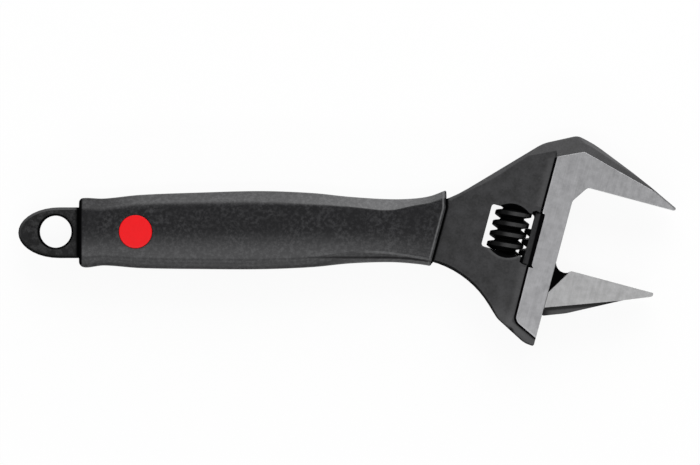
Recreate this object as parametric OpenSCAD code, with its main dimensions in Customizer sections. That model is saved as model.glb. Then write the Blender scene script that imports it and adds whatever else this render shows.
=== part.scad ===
// Adjustable wrench with slim tapered jaws, a wide mouth, a moulded grip and a hanging tab.
// It lies flat. +X runs from the hanging hole to the head, +Y towards the fixed jaw and +Z
// up through the thickness. The origin is the middle of the hanging hole.
// The head has a frame of its own, in_head(): x points to the jaw tips and y runs up the
// slide, from the corner where the slide's face would meet the fixed jaw's face.

/* [Shank and hanging tab] */
// Width of the forged shank and its hanging tab
shank_w = 19.8; // [18:0.1:22]
// Thickness of the forged shank and its hanging tab
shank_th = 7; // [6:0.1:9]
// Bore of the hanging hole
hang_d = 12.5; // [8:0.1:13]
// How far the hanging hole lies above the middle of the shank
hang_rise = 0.4; // [0:0.1:0.8]
// Distance from the middle of the hanging hole to the end of the tab
tab_out = 14.5; // [12:0.1:18]
// Length of the tab's elliptical nose
tab_nose = 16; // [12:0.1:20]
// Width of the 45 degree edge round the tab and along the neck
edge_break = 1; // [0.4:0.1:1.6]
// Width of the 45 degree edge at the mouths of the hanging hole
hole_break = 0.8; // [0.3:0.1:1.2]

/* [Grip] */
// Distance from the middle of the hanging hole to the tail of the grip
grip_start = 9.2; // [7:0.1:14]
// Length of the grip
grip_l = 143.3; // [110:0.1:180]
// Wall of the grip beside the shank, where it is thinnest
grip_side = 1.6; // [1:0.1:3]
// Wall of the grip over the flat of the shank
grip_cheek = 5.5; // [3:0.1:7]
// How far the grip swells in width at its fullest, above the middle and below it
grip_swell = 5; // [2:0.1:7]
// Width of the bevels along the edges of the grip's front
grip_bevel = 4; // [2:0.1:6]
// Radius of the grip's rounded tail edge
tail_round = 1.6; // [1:0.1:3]
// Gap between the shank and the grip moulded round it
grip_fit = 0.05; // [0.02:0.01:0.2]
// Diameter of the inlaid disc
inlay_d = 13; // [8:0.5:14]
// Thickness of the inlaid disc
inlay_th = 1.4; // [1:0.1:2]
// Distance from the tail of the grip to the middle of the inlaid disc
inlay_in = 22.2; // [16:0.1:60]

/* [Head] */
// Length of the neck from the grip's mouth to the corner of the jaws
neck_l = 50.8; // [46:0.1:60]
// Height of the corner of the jaws above the middle of the shank
head_rise = 18.8; // [16:0.1:22]
// Angle between the jaws and the handle
jaw_angle = 15; // [10:0.5:20]
// Thickness of the black forged head
head_th = 12; // [10:0.1:14]
// How far the ground flats stand above the forged face
flat_step = 1; // [0.5:0.1:1.5]
// Thickness of the jaws at their tips
tip_th = 10; // [6:0.1:12]
// Length of both jaws, measured from the slide's face
jaw_l = 39.8; // [34:0.1:46]
// Height of the fixed jaw's back above its face
jaw_root = 18.5; // [16:0.1:24]
// Length of the slide below the fixed jaw's face
slide_l = 65.3; // [62:0.1:74]
// Width of the ground flat along the slide
strip_w = 10.1; // [8:0.1:11]
// Width of the slanted shoulder beside the ground flats
pad_slant = 0.9; // [0.5:0.1:1.3]
// Width of the bevel along the fixed jaw's back, at the root
bevel_w = 5.65; // [4:0.05:7]
// Width of the steep outer facet at the root of the fixed jaw's back
facet_w = 1.4; // [0.6:0.1:2]

/* [Movable jaw] */
// Opening of the mouth as it is set
opening = 33.1; // [12:0.1:37]
// Height of the jaw where it meets the slide
jaw_heel = 19.9; // [17:0.1:22]
// Width of the black bevel below the jaw where it meets the slide
jaw_bevel_w = 3.4; // [2:0.1:5]
// Diameter of the toothed rod
rod_d = 10; // [9:0.1:10.6]
// Steel between the rod's channel and the slide's face
land_w = 4.9; // [4:0.1:6]
// How far the rod reaches below the jaw's face
rod_tail = 25.4; // [22:0.1:27]
// Thickness of the web between the rod and the jaw
web_th = 5.6; // [4:0.1:7]
// Gap round the rod in its channel
rod_fit = 0.1; // [0.05:0.01:0.2]
// Gap on each side of the web in its slot
web_fit = 0.2; // [0.1:0.05:0.4]
// Gap between the jaw and the slide's face
face_gap = 0.1; // [0.05:0.05:0.4]
// Steel left between the blind end of the channel and the head's back
channel_wall = 1.2; // [0.8:0.1:3]

/* [Worm] */
// Outside diameter of the worm
worm_d = 14.2; // [13.4:0.1:15]
// Length of the worm
worm_l = 16.5; // [14:0.1:18]
// Pitch of the worm and its rack
worm_pitch = 4.2; // [3.6:0.1:4.8]
// Depth of the worm's thread
thread_depth = 2.5; // [1.8:0.1:2.8]
// Angle of each flank of the thread
flank = 20; // [10:1:25]
// How deep the thread reaches into the rack
mesh_depth = 1.3; // [1:0.1:1.6]
// Depth of the rack's teeth
tooth_depth = 2.5; // [2:0.1:3]
// Play of the thread in the rack, on each side
thread_play = 0.3; // [0.2:0.05:0.4]
// Gap at each end of the worm in its window
worm_play = 0.25; // [0.1:0.05:0.5]
// Distance from the fixed jaw's face to the top of the window
window_top = 15.7; // [14:0.1:18]
// Room between the worm and the window's far side
window_room = 2; // [1:0.1:3]
// How far the thumb reliefs reach past the window
relief = 2.2; // [1:0.1:2.6]

/* [Pin and spring] */
// Diameter of the worm's pin
pin_d = 4; // [3:0.1:4.6]
// Radial gap between the pin and its bores
pin_fit = 0.05; // [0.02:0.01:0.1]
// Diameter of the pin's slotted head
pin_head_d = 6.2; // [5.6:0.1:7]
// Length of the pin's slotted head
pin_head_l = 3; // [2:0.1:4]
// How far the pin enters the steel above the window
pin_seat = 6.5; // [3:0.1:9]
// Wire of the spring that steadies the worm
spring_wire = 0.6; // [0.4:0.05:0.7]
// Outside diameter of the spring
spring_d = 6; // [5.8:0.1:6.2]
// Length of the spring as it is fitted
spring_l = 4; // [3:0.1:6]
// Turns of the spring
spring_turns = 4; // [3:1:5]

/* [Hidden] */
$fn = 64;

// Turn of one step of a rounded corner, and of one step of the worm's thread
arc_step = 5;
thread_step = 12;
// Overlap of a cut past the solid that it opens, and of a thin step that keeps two faces apart
past = 1;
lap = 0.05;
// Reach of a cut that leaves the part altogether
clear_of = 60;

black = [0.2, 0.2, 0.21];
steel = [0.6, 0.6, 0.62];
dark = [0.1, 0.1, 0.1];
red = [0.9, 0.1, 0.12];

// ---- Points, arcs and outlines ----

function mix(a, b, t) = a + (b - a) * t;

function unit(v) = v / norm(v);

// The side to the right of the way from a to b, which is the outer side of an outline.
function right_of(a, b) = unit([b.y - a.y, a.x - b.x]);

function turn_of(a, b, c) =
    let (p = unit([b.x - a.x, b.y - a.y]), q = unit([c.x - b.x, c.y - b.y]))
    acos(max(-1, min(1, p * q)));

// Length of edge that a corner's arc uses up on each side.
function arc_need(corners, i) =
    let (n = len(corners))
    corners[i].z * tan(turn_of(corners[(i + n - 1) % n], corners[i], corners[(i + 1) % n]) / 2);

// Each corner [x, y, radius] becomes an arc, made smaller where its edges are too short for
// it. With a count, every corner has that many steps, so that outlines match point by point.
function rounded(corners, count = 0) =
    let (n = len(corners), need = [for (i = [0:n - 1]) arc_need(corners, i)])
    [for (i = [0:n - 1])
        let (
            a = corners[(i + n - 1) % n],
            b = corners[i],
            c = corners[(i + 1) % n],
            room_in = 0.98 * norm([b.x - a.x, b.y - a.y]) / max(need[i] + need[(i + n - 1) % n], 0.001),
            room_out = 0.98 * norm([c.x - b.x, c.y - b.y]) / max(need[i] + need[(i + 1) % n], 0.001),
            t = need[i] * min(1, room_in, room_out),
            turn = turn_of(a, b, c)
        )
        each t < 0.01 && count == 0
            ? [[b.x, b.y]]
            : let (
                way = unit([b.x - a.x, b.y - a.y]),
                side = sign(way.x * (c.y - b.y) - way.y * (c.x - b.x)),
                r = t / tan(turn / 2),
                start = [b.x, b.y] - t * way,
                centre = start + side * r * [-way.y, way.x],
                from = atan2(start.y - centre.y, start.x - centre.x),
                steps = count > 0 ? count : ceil(turn / arc_step)
            )
            [for (k = [0:steps])
                centre + r * [cos(from + side * turn * k / steps), sin(from + side * turn * k / steps)]]
    ];

// The same corners, moved out by a distance.
function grown(corners, by) =
    let (n = len(corners))
    [for (i = [0:n - 1])
        let (
            a = corners[(i + n - 1) % n],
            b = corners[i],
            c = corners[(i + 1) % n],
            out_in = right_of(a, b),
            out_on = right_of(b, c),
            side = sign((b.x - a.x) * (c.y - b.y) - (b.y - a.y) * (c.x - b.x)),
            place = [b.x, b.y] + by * (out_in + out_on) / (1 + out_in * out_on)
        )
        [place.x, place.y, b.z == 0 ? 0 : max(b.z + side * by, 0)]];

// A closed skin through rings of points, each ring running anticlockwise about the way that
// the rings follow.
module skin(rings) {
    n = len(rings[0]);
    last = (len(rings) - 1) * n;
    polyhedron(
        points = [for (ring = rings) each ring],
        faces = concat(
            [[for (j = [0:n - 1]) j]],
            [for (i = [0:n:last - n], j = [0:n - 1]) [i + j, i + n + (j + 1) % n, i + (j + 1) % n]],
            [for (i = [0:n:last - n], j = [0:n - 1]) [i + j, i + n + j, i + n + (j + 1) % n]],
            [[for (j = [n - 1:-1:0]) last + j]]
        ),
        convexity = 6
    );
}

// Cuts a sloping edge outwards from a path [x, y, z] that runs along the solid's upper face.
module slope_cut(path, slope, reach) {
    n = len(path);
    skin([for (i = [0:n - 1])
        let (
            p = path[i],
            out_in = right_of(path[max(i - 1, 0)], path[max(i, 1)]),
            out_on = right_of(path[min(i, n - 2)], path[min(i + 1, n - 1)]),
            out = (out_in + out_on) / (1 + out_in * out_on),
            near = [p.x, p.y] - past * out,
            far = [p.x, p.y] + reach * out
        )
        [
            [far.x, far.y, p.z + past * slope],
            [far.x, far.y, p.z - reach * slope],
            [near.x, near.y, p.z + past * slope]
        ]]);
}

module both_faces() {
    children();
    mirror([0, 0, 1]) children();
}

// ---- The head's frame ----

head_x = grip_start + grip_l + neck_l;
head_y = head_rise - hang_rise;

function to_row(c) = [
    head_x + c.x * cos(jaw_angle) + c.y * sin(jaw_angle),
    head_y - c.x * sin(jaw_angle) + c.y * cos(jaw_angle),
    c.z
];

module in_head() {
    translate([head_x, head_y, 0]) rotate([0, 0, -jaw_angle]) children();
}

// ---- Places of the rod, the worm and its window, across and along the slide ----

rod_r = rod_d / 2;
channel_r = rod_r + rod_fit;
rod_u = -land_w - channel_r;
rack_tip = rod_u - rod_r;
rack_root = rack_tip + tooth_depth;

worm_r = worm_d / 2;
worm_u = rack_tip + mesh_depth - worm_r;
window_l = worm_l + 2 * worm_play;
worm_mid = -window_top - window_l / 2;
window_low = -window_top - window_l;
window_left = worm_u - worm_r - window_room;
window_r = 1.2;

// ---- Body: one forging of tab, shank, head and fixed jaw ----

grip_end = grip_start + grip_l;
shank_top = shank_w / 2 - hang_rise;
shank_low = -shank_w / 2 - hang_rise;

tab_corners = [for (a = [90:10:270])
    [tab_nose * (1 + cos(a)) - tab_out, shank_w / 2 * sin(a) - hang_rise, 0]];

// The neck swells into the head on two wide curves. Each starts near the grip's mouth.
neck_low_from = 5.5;
neck_low_r = 38;
neck_top_from = -3.8;
neck_top_r = 52;
neck_low = [grip_end + neck_low_from, shank_low, neck_low_r];
neck_top = [grip_end + neck_top_from, shank_top, neck_top_r];

// Corners of the head in its own frame, each [across, along the slide, radius]: the heel
// below the worm, and the foot and the toe at the end of the slide
heel_up = 6.8;
foot_up = 0.3;
heel = [worm_u + 4.4, heel_up - slide_l, 8];
foot = [-3.8, foot_up - slide_l, 8];
toe = [0, -slide_l, 0.8];

// The mouth has a slanted corner between the slide's face and the fixed jaw's face.
mouth_cut = [4.5, 6.7];
mouth_r = 2.5;
tip_r = 0.6;
mouth = [[0, -mouth_cut.y, mouth_r], [mouth_cut.x, 0, mouth_r], [jaw_l, 0, tip_r]];

// The fixed jaw's back, from its tip over a slight crown to the shoulder and the nape. Each
// corner of the crown is a share of the way from the tip, a height above it and a radius.
tip_back = [jaw_l - 0.2, 1.1, 0.5];
shoulder = [-4.5, jaw_root, 5];
crown = [[0.36, 1.1, 150], [0.85, 1.2, 40]];
crown_at = [for (c = crown)
    let (p = mix(tip_back, shoulder, c.x) + c.y * concat(right_of(tip_back, shoulder), 0))
    [p.x, p.y, c.z]];
back = concat([tip_back], crown_at, [shoulder]);
nape = [-16.8, jaw_root - 6.4, 14];

body_corners = concat(
    tab_corners,
    [neck_low],
    [for (c = concat([heel, foot, toe], mouth, back, [nape])) to_row(c)],
    [neck_top]
);

// Half thickness: thin in the handle, rising to the head under the neck
swell = 15;
swell_r = 60;
half_shank = shank_th / 2;
half_head = head_th / 2;
half_flat = half_head + flat_step;

function face_z(x) =
    let (t = (x - grip_end - past) / swell) mix(half_shank, half_head, max(0, min(1, t)));

// The ground flats lie in one plane on each side, which comes closer towards the tips.
function flat_z(u) = mix(half_flat, tip_th / 2, max(0, (u + strip_w) / (jaw_l + strip_w)));

module side_form() {
    near = -tab_out - past;
    far = grip_end + 2 * clear_of + jaw_l;
    half = [
        [near, half_shank, 0],
        [grip_end + past, half_shank, swell_r],
        [grip_end + past + swell, half_head, swell_r],
        [far, half_head, 0]
    ];
    rotate([90, 0, 0])
        linear_extrude(height = 6 * clear_of, center = true)
            polygon(rounded(concat(half, [for (i = [3:-1:0]) [half[i].x, -half[i].y, half[i].z]])));
}

module taper_form(step, from) {
    half = [
        [from, flat_z(from) - step],
        [-strip_w, half_flat - step],
        [jaw_l + past, flat_z(jaw_l + past) - step]
    ];
    rotate([90, 0, 0])
        linear_extrude(height = 4 * clear_of, center = true)
            polygon(concat(half, [for (i = [2:-1:0]) [half[i].x, -half[i].y]]));
}

// Inner edge of the bevel that runs along the fixed jaw's back, and on over the slide's head
bevel_apex = [-0.5, jaw_root - bevel_w];
bevel_side = [-strip_w, jaw_root - 10.2];
bevel_tip = [jaw_l, tip_back.y + 1.4];
bevel_slope = 0.4;
bevel_path = [
    mix(bevel_apex, bevel_tip, 1.1),
    bevel_apex,
    bevel_side,
    mix(bevel_apex, bevel_side, 2)
];

// A steeper facet breaks the back's outer edge, and fades out on the way to the tip.
facet_slope = 1.2;
facet_path = [for (c = [
    concat(mix(tip_back, crown_at[0], 0.9), 0),
    concat(crown_at[1], facet_w),
    concat(mix(crown_at[1], shoulder, 1.4), facet_w)
]) [c.x, c.y] - c[3] * right_of(crown_at[1], shoulder)];

function bevel_z(p) = flat_z(p.x) - bevel_slope * (p - bevel_apex) * right_of(bevel_tip, bevel_apex);

// Everything right of the strip's edge and above its foot is ground flat. Below the top of
// the window, the strip narrows a little towards its foot.
strip_taper = 0.65;
strip_corner = [strip_taper - strip_w, 7.9 - slide_l, 3];
strip_foot = [0, 3.75 - slide_l, 0];
strip_end = mix(strip_corner, strip_foot, 1.5);
ground_corners = [
    strip_corner,
    [strip_end.x, strip_end.y, 0],
    [2 * jaw_l, strip_end.y, 0],
    [2 * jaw_l, 2 * jaw_root, 0],
    [-strip_w, 2 * jaw_root, 0],
    [-strip_w, -window_top, 0]
];

// Line of the sloping lip below the foot of the slide
lip_w = 3;
lip_slope = 0.25;

// The chamfered edge runs from the nape round the whole handle and fades out at the heel.
function edge_corners() =
    let (
        n = len(body_corners),
        inner = grown(body_corners, -edge_break),
        run = [for (i = [n - 2:n + len(tab_corners) + 1]) inner[i % n]],
        last = len(run) - 1,
        end = run[last] + 4 * past * unit(run[last] - run[last - 1])
    )
    [for (i = [0:last]) i == 0 ? [run[0].x, run[0].y, 0] : i == last ? [end.x, end.y, 0] : run[i]];

module forged_blank() {
    lip_way = unit([foot.x - heel.x, foot.y - heel.y]);
    lip_mid = [heel.x, heel.y] - lip_w * right_of(heel, foot);
    difference() {
        intersection() {
            linear_extrude(height = 2 * half_flat, center = true) polygon(rounded(body_corners));
            side_form();
            in_head() taper_form(flat_step, -2 * clear_of - grip_end);
        }
        both_faces() {
            slope_cut([for (p = rounded(edge_corners())) [p.x, p.y, face_z(p.x)]], 1, edge_break + past);
            in_head() slope_cut(
                [for (s = [-5 * lip_w, 2 * norm(foot - heel)])
                    concat(lip_mid + s * lip_way, [half_head])],
                lip_slope, lip_w + past
            );
        }
    }
}

module ground_flats() {
    edge = rounded([ground_corners[4], ground_corners[5], strip_corner, ground_corners[1]]);
    difference() {
        intersection() {
            linear_extrude(height = 2 * half_flat, center = true) polygon(rounded(body_corners));
            in_head() linear_extrude(height = 2 * half_flat, center = true)
                polygon(rounded(grown(ground_corners, pad_slant)));
            in_head() taper_form(0, -strip_w - 2 * pad_slant);
        }
        in_head() both_faces() slope_cut(
            [for (p = edge) [p.x, p.y, half_flat]],
            (flat_step - lap) / pad_slant, pad_slant + past
        );
    }
}

// ---- Channel, slot, window and bores in the head, all in its frame ----

function back_w(u) = mix(nape.y, shoulder.y, (u - nape.x) / (shoulder.x - nape.x));
channel_end = back_w(rod_u - channel_r) - channel_wall;

// The web rises a little above the jaw's face, so its slot runs on into the fixed jaw.
web_rise = 2;
web_hollow_r = 4;
web_hollow = [web_hollow_r, 2.6];
slot_top = web_rise + face_gap;
slot_right = web_hollow.x + 1.5;

// The pin's head lies sunk in the heel.
pin_in = 16.6;
pin_top = pin_seat - window_top;
pin_low = pin_in - slide_l;

module along_slide(u, low, high, r) {
    translate([u, low, 0]) rotate([-90, 0, 0]) cylinder(h = high - low, r = r);
}

module channel_cut() {
    along_slide(rod_u, -slide_l - past, channel_end, channel_r);
    half = web_th / 2 + web_fit;
    translate([rod_u, -slide_l - past, -half])
        cube([slot_right - rod_u, slide_l + past + slot_top, 2 * half]);
}

module window_cut() {
    linear_extrude(height = 3 * half_flat, center = true)
        polygon(rounded([
            [window_left, window_low, window_r],
            [rack_root, window_low, window_r],
            [rack_root, -window_top, window_r],
            [window_left, -window_top, window_r]
        ]));
}

// Thumb reliefs: a shallow scoop at each end of the window, level with the worm, and a bevel
// between the window and the slide.
scoop_angle = 40;
scoop_half = 6;
side_run = 3.7;
side_wall = 0.2;
side_depth = half_flat - side_wall - sqrt(channel_r * channel_r - pow(rack_root - rod_u, 2));

module scoop() {
    drop = relief * sin(scoop_angle);
    r = (scoop_half * scoop_half + drop * drop) / (2 * drop);
    translate([worm_u, relief, half_head])
        rotate([90 + scoop_angle, 0, 0])
            translate([0, r, -past])
                cylinder(h = relief / cos(scoop_angle) + past, r = r);
}

module side_relief() {
    fade = 0.5 * relief;
    skin([for (p = [
        [relief - window_top, 0],
        [relief - fade - window_top, side_depth],
        [window_low - relief, side_depth],
        [window_low - relief - fade, 0]
    ]) [
        [rack_root - p.y - past, p.x, half_flat + past],
        [rack_root, p.x, half_flat - p.y],
        [rack_root + side_run + past, p.x, half_flat + past * p.y / side_run]
    ]]);
}

module thumb_reliefs() {
    both_faces() {
        translate([0, -window_top, 0]) scoop();
        translate([0, window_low, 0]) mirror([0, 1, 0]) scoop();
        side_relief();
    }
}

module pin_cut() {
    along_slide(worm_u, -slide_l, pin_top + pin_fit, pin_d / 2 + pin_fit);
    along_slide(worm_u, -slide_l - past, pin_low + pin_head_l, pin_head_d / 2 + 2 * pin_fit);
}

module hang_hole() {
    r = hang_d / 2;
    cylinder(h = 2 * shank_th, r = r, center = true);
    both_faces()
        translate([0, 0, half_shank - hole_break])
            cylinder(h = hole_break + past, r1 = r, r2 = r + hole_break + past);
}

module body() {
    color(black) difference() {
        union() {
            forged_blank();
            color(steel) ground_flats();
        }
        hang_hole();
        in_head() {
            both_faces() {
                slope_cut([for (p = bevel_path) [p.x, p.y, flat_z(p.x)]], bevel_slope, jaw_root);
                slope_cut([for (p = facet_path) [p.x, p.y, bevel_z(p)]], facet_slope, jaw_root);
            }
            channel_cut();
            window_cut();
            thumb_reliefs();
            pin_cut();
        }
    }
}

// ---- Movable jaw: jaw, web and toothed rod in one piece, drawn from the jaw's face ----

jaw_cut = [6.4, 10.4];
jaw_waist = [9, 3.4 - jaw_heel, 15];
jaw_knee = [29, -5.9, 8];
jaw_corners = [
    [face_gap, -jaw_heel, 0.5],
    jaw_waist,
    jaw_knee,
    [jaw_l, -1.5, 1],
    [jaw_l, 0, tip_r],
    [jaw_cut.x, 0, mouth_r],
    [face_gap, -jaw_cut.y, 0.3]
];
jaw_bevel_slope = 0.6;

rod_top = channel_end - face_gap;
rod_break = 0.6;

// The web joins the rod to the block, and hollows out towards the jaw's face.
web_corners = concat(
    [
        [rod_u, 2 - rod_tail],
        [-face_gap, 4 - rod_tail],
        [-face_gap, 0.5 - jaw_heel],
        [face_gap + past, 1.5 - jaw_heel],
        [jaw_waist.x, jaw_waist.y + 1.7],
        [jaw_waist.x, -past]
    ],
    [for (a = [318:-12:190]) web_hollow + web_hollow_r * [cos(a), sin(a)]],
    [[rod_u, web_rise]]
);

// The thread's crest and the gap between two teeth, both measured along the rod
crest_share = 0.36;
crest_w = crest_share * worm_pitch;
gap_at_crest = crest_w + 2 * thread_play;
gap_at_tip = gap_at_crest + 2 * mesh_depth * tan(flank);
gap_at_root = gap_at_tip - 2 * tooth_depth * tan(flank);
lead_angle = atan(worm_pitch / (PI * (worm_d - mesh_depth)));

module tooth_gap() {
    outer = gap_at_tip / 2 + past * tan(flank);
    rotate([lead_angle, 0, 0])
        linear_extrude(height = 3 * rod_d, center = true)
            polygon([
                [rack_tip - past, -outer],
                [rack_root, -gap_at_root / 2],
                [rack_root, gap_at_root / 2],
                [rack_tip - past, outer]
            ]);
}

module rod() {
    difference() {
        union() {
            along_slide(rod_u, rod_break - rod_tail, rod_top - rod_break, rod_r);
            translate([rod_u, -rod_tail, 0]) rotate([-90, 0, 0])
                cylinder(h = rod_break, r1 = rod_r - rod_break, r2 = rod_r);
            translate([rod_u, rod_top - rod_break, 0]) rotate([-90, 0, 0])
                cylinder(h = rod_break, r1 = rod_r, r2 = rod_r - rod_break);
        }
        for (k = [-ceil(rod_tail / worm_pitch):ceil(rod_top / worm_pitch)])
            translate([0, k * worm_pitch, 0]) tooth_gap();
    }
}

module movable_jaw() {
    color(steel) in_head() translate([0, -opening, 0]) {
        difference() {
            intersection() {
                linear_extrude(height = 2 * half_flat, center = true) polygon(rounded(jaw_corners));
                taper_form(0, -strip_w - past);
            }
            both_faces() slope_cut(
                [for (t = [-0.2, 1.2])
                    let (p = mix([face_gap, jaw_bevel_w - jaw_heel], [jaw_knee.x, jaw_knee.y], t))
                    [p.x, p.y, flat_z(p.x)]],
                jaw_bevel_slope, jaw_heel
            );
        }
        color(dark) linear_extrude(height = web_th, center = true) polygon(web_corners);
        color(dark) rod();
    }
}

// ---- Worm, its pin and its spring ----

worm_root_r = worm_r - thread_depth;
spring_room = 0.3;

// A right-hand thread whose crest faces a gap in the rack wherever the jaw is set
module thread() {
    sunk = 0.3;
    half_out = crest_w / 2;
    half_in = half_out + (thread_depth + sunk) * tan(flank);
    rise = worm_l / 2 + worm_pitch / 2;
    start = 360 * (opening + worm_mid - rise) / worm_pitch;
    steps = ceil(720 * rise / worm_pitch / thread_step);
    skin([for (i = [0:steps])
        let (a = start + i * thread_step, z = worm_pitch * a / 360 - opening - worm_mid)
        [for (p = [
            [worm_root_r - sunk, half_in],
            [worm_r + sunk, half_out - sunk * tan(flank)],
            [worm_r + sunk, sunk * tan(flank) - half_out],
            [worm_root_r - sunk, -half_in]
        ]) [p.x * cos(a), p.x * sin(a), z + p.y]]]);
}

module worm() {
    color(dark) in_head() translate([worm_u, worm_mid, 0]) rotate([-90, 0, 0]) difference() {
        union() {
            cylinder(h = worm_l, r = worm_root_r, center = true);
            intersection() {
                thread();
                cylinder(h = worm_l, r = worm_r, center = true);
            }
        }
        cylinder(h = worm_l + 2 * past, r = pin_d / 2 + pin_fit, center = true);
        translate([0, 0, -worm_l / 2 - past])
            cylinder(h = spring_l + past, r = spring_d / 2 + spring_room);
    }
}

module worm_pin() {
    slot_w = 1;
    slot_h = 1.2;
    color(steel) in_head() difference() {
        union() {
            along_slide(worm_u, pin_low, pin_top, pin_d / 2);
            along_slide(worm_u, pin_low, pin_low + pin_head_l, pin_head_d / 2);
        }
        translate([worm_u, pin_low, 0]) cube([pin_head_d + past, 2 * slot_h, slot_w], center = true);
    }
}

module worm_spring() {
    r = (spring_d - spring_wire) / 2;
    rise = spring_l - spring_wire;
    step = 20;
    color(steel) in_head()
        translate([worm_u, window_low + worm_play / 2 + spring_wire / 2, 0])
            rotate([-90, 0, 0])
                skin([for (a = [0:step:360 * spring_turns])
                    [for (b = [0:60:300])
                        let (
                            rho = r + spring_wire / 2 * sin(b),
                            z = rise * a / (360 * spring_turns) + spring_wire / 2 * cos(b)
                        )
                        [rho * cos(a), rho * sin(a), z]]]);
}

// ---- Grip ----

// Stations along the grip, all as shares: of its length, of the swell above and below, of the
// bevels above and below, and of the full thickness
stations = [
    [0.000, 0.38, 0.30, 1.05, 0.75, 0.93],
    [0.020, 0.42, 0.42, 1.05, 0.80, 0.94],
    [0.068, 0.37, 0.26, 1.05, 0.75, 0.94],
    [0.166, 0.65, 0.46, 0.95, 0.75, 0.97],
    [0.334, 0.84, 0.54, 1.05, 0.73, 1],
    [0.496, 0.95, 0.55, 1.20, 0.73, 1],
    [0.634, 0.80, 0.39, 1.15, 0.80, 0.98],
    [0.738, 0.50, 0.10, 0.98, 1.05, 0.95],
    [0.843, 0.32, 0.00, 1.10, 0.83, 0.93],
    [0.912, 0.37, 0.12, 0.65, 0.78, 0.94],
    [0.958, 0.58, 0.32, 0.60, 0.75, 0.96],
    [1.000, 1.04, 0.72, 0.65, 0.75, 1]
];

// A smooth curve through the stations.
function station_at(f) =
    let (
        last = len(stations) - 1,
        i = max([for (k = [0:last - 1]) stations[k][0] <= f ? k : 0]),
        a = stations[max(i - 1, 0)],
        b = stations[i],
        c = stations[i + 1],
        d = stations[min(i + 2, last)],
        span = c[0] - b[0],
        t = (f - b[0]) / span,
        go_b = (c - a) * span / (c[0] - a[0]),
        go_c = (d - b) * span / (d[0] - b[0])
    )
    b * (2 * t * t * t - 3 * t * t + 1) + go_b * (t * t * t - 2 * t * t + t)
        + c * (3 * t * t - 2 * t * t * t) + go_c * (t * t * t - t * t);

half_grip = half_shank + grip_cheek;
mouth_knee = 0.3;
// Shares of the half thickness at the grip's sides and at the edges of its front, and of its
// width at the front's highest line
side_z = 0.48;
facet_z = 0.95;
dome_at = 0.45;
dome_r = 20;
edge_r = 2.5;

// Section across the grip: a softly domed front, a bevel above and below it, and the same behind
function grip_ring(x, inset) =
    let (
        s = station_at((x - grip_start) / grip_l),
        top = shank_top + grip_side + grip_swell * s[1] - inset,
        low = shank_low - grip_side - grip_swell * s[2] + inset,
        half = half_grip * s[5] - inset,
        front = [
            [top, side_z * half, edge_r],
            [top - grip_bevel * s[3], facet_z * half, edge_r],
            [mix(top, low, dome_at), half, dome_r],
            [low + grip_bevel * s[4], facet_z * half, edge_r],
            [low, side_z * half, edge_r]
        ]
    )
    [for (p = rounded(concat(front, [for (i = [4:-1:0]) [front[i].x, -front[i].y, front[i].z]]), 2))
        [x, p.x, p.y]];

module grip_form() {
    rings = 40;
    skin(concat(
        [for (a = [0:22.5:67.5])
            grip_ring(grip_start + tail_round * (1 - cos(a)), tail_round * (1 - sin(a)))],
        [for (i = [0:rings])
            grip_ring(mix(grip_start + tail_round, grip_end, i / rings), 0)]
    ));
}

inlay_x = grip_start + inlay_in;
inlay_proud = 0.1;
inlay_top = half_grip * station_at(inlay_in / grip_l)[5] + inlay_proud;
inlay_fit = 0.05;

module grip() {
    // The mouth stands square to the handle at the top, and slants with the jaws below its knee.
    knee = shank_top - mouth_knee;
    color(dark) difference() {
        grip_form();
        linear_extrude(height = 4 * half_grip, center = true)
            polygon([
                [grip_end, clear_of],
                [grip_end, knee],
                [grip_end - (knee + clear_of) * tan(jaw_angle), -clear_of],
                [grip_end + past, -clear_of],
                [grip_end + past, clear_of]
            ]);
        linear_extrude(height = shank_th + 2 * grip_fit, center = true)
            polygon(rounded(grown(body_corners, grip_fit)));
        translate([inlay_x, 0, inlay_top - inlay_th])
            cylinder(h = inlay_th + past, r = inlay_d / 2 + inlay_fit);
    }
}

module grip_inlay() {
    color(red) translate([inlay_x, 0, inlay_top - inlay_th + inlay_fit])
        cylinder(h = inlay_th - inlay_fit, r = inlay_d / 2);
}

body();
movable_jaw();
worm();
worm_pin();
worm_spring();
grip();
grip_inlay();
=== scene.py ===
"""Looks of an adjustable wrench, dressed on its CAD frame.

The wrench lies flat: +X runs from the hanging hole to the head, +Y towards the fixed jaw and
+Z up. Lengths are in metres, and names that end in _mm hold millimetres. The head has a frame
of its own, turned by the jaws' angle: across runs to the jaw tips, and along runs up the slide.
"""

from __future__ import annotations

import logging
import math
from dataclasses import dataclass
from enum import Enum
from typing import NamedTuple, Optional, Sequence, Union

import bmesh
import bpy
from mathutils import Matrix, Vector


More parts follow.
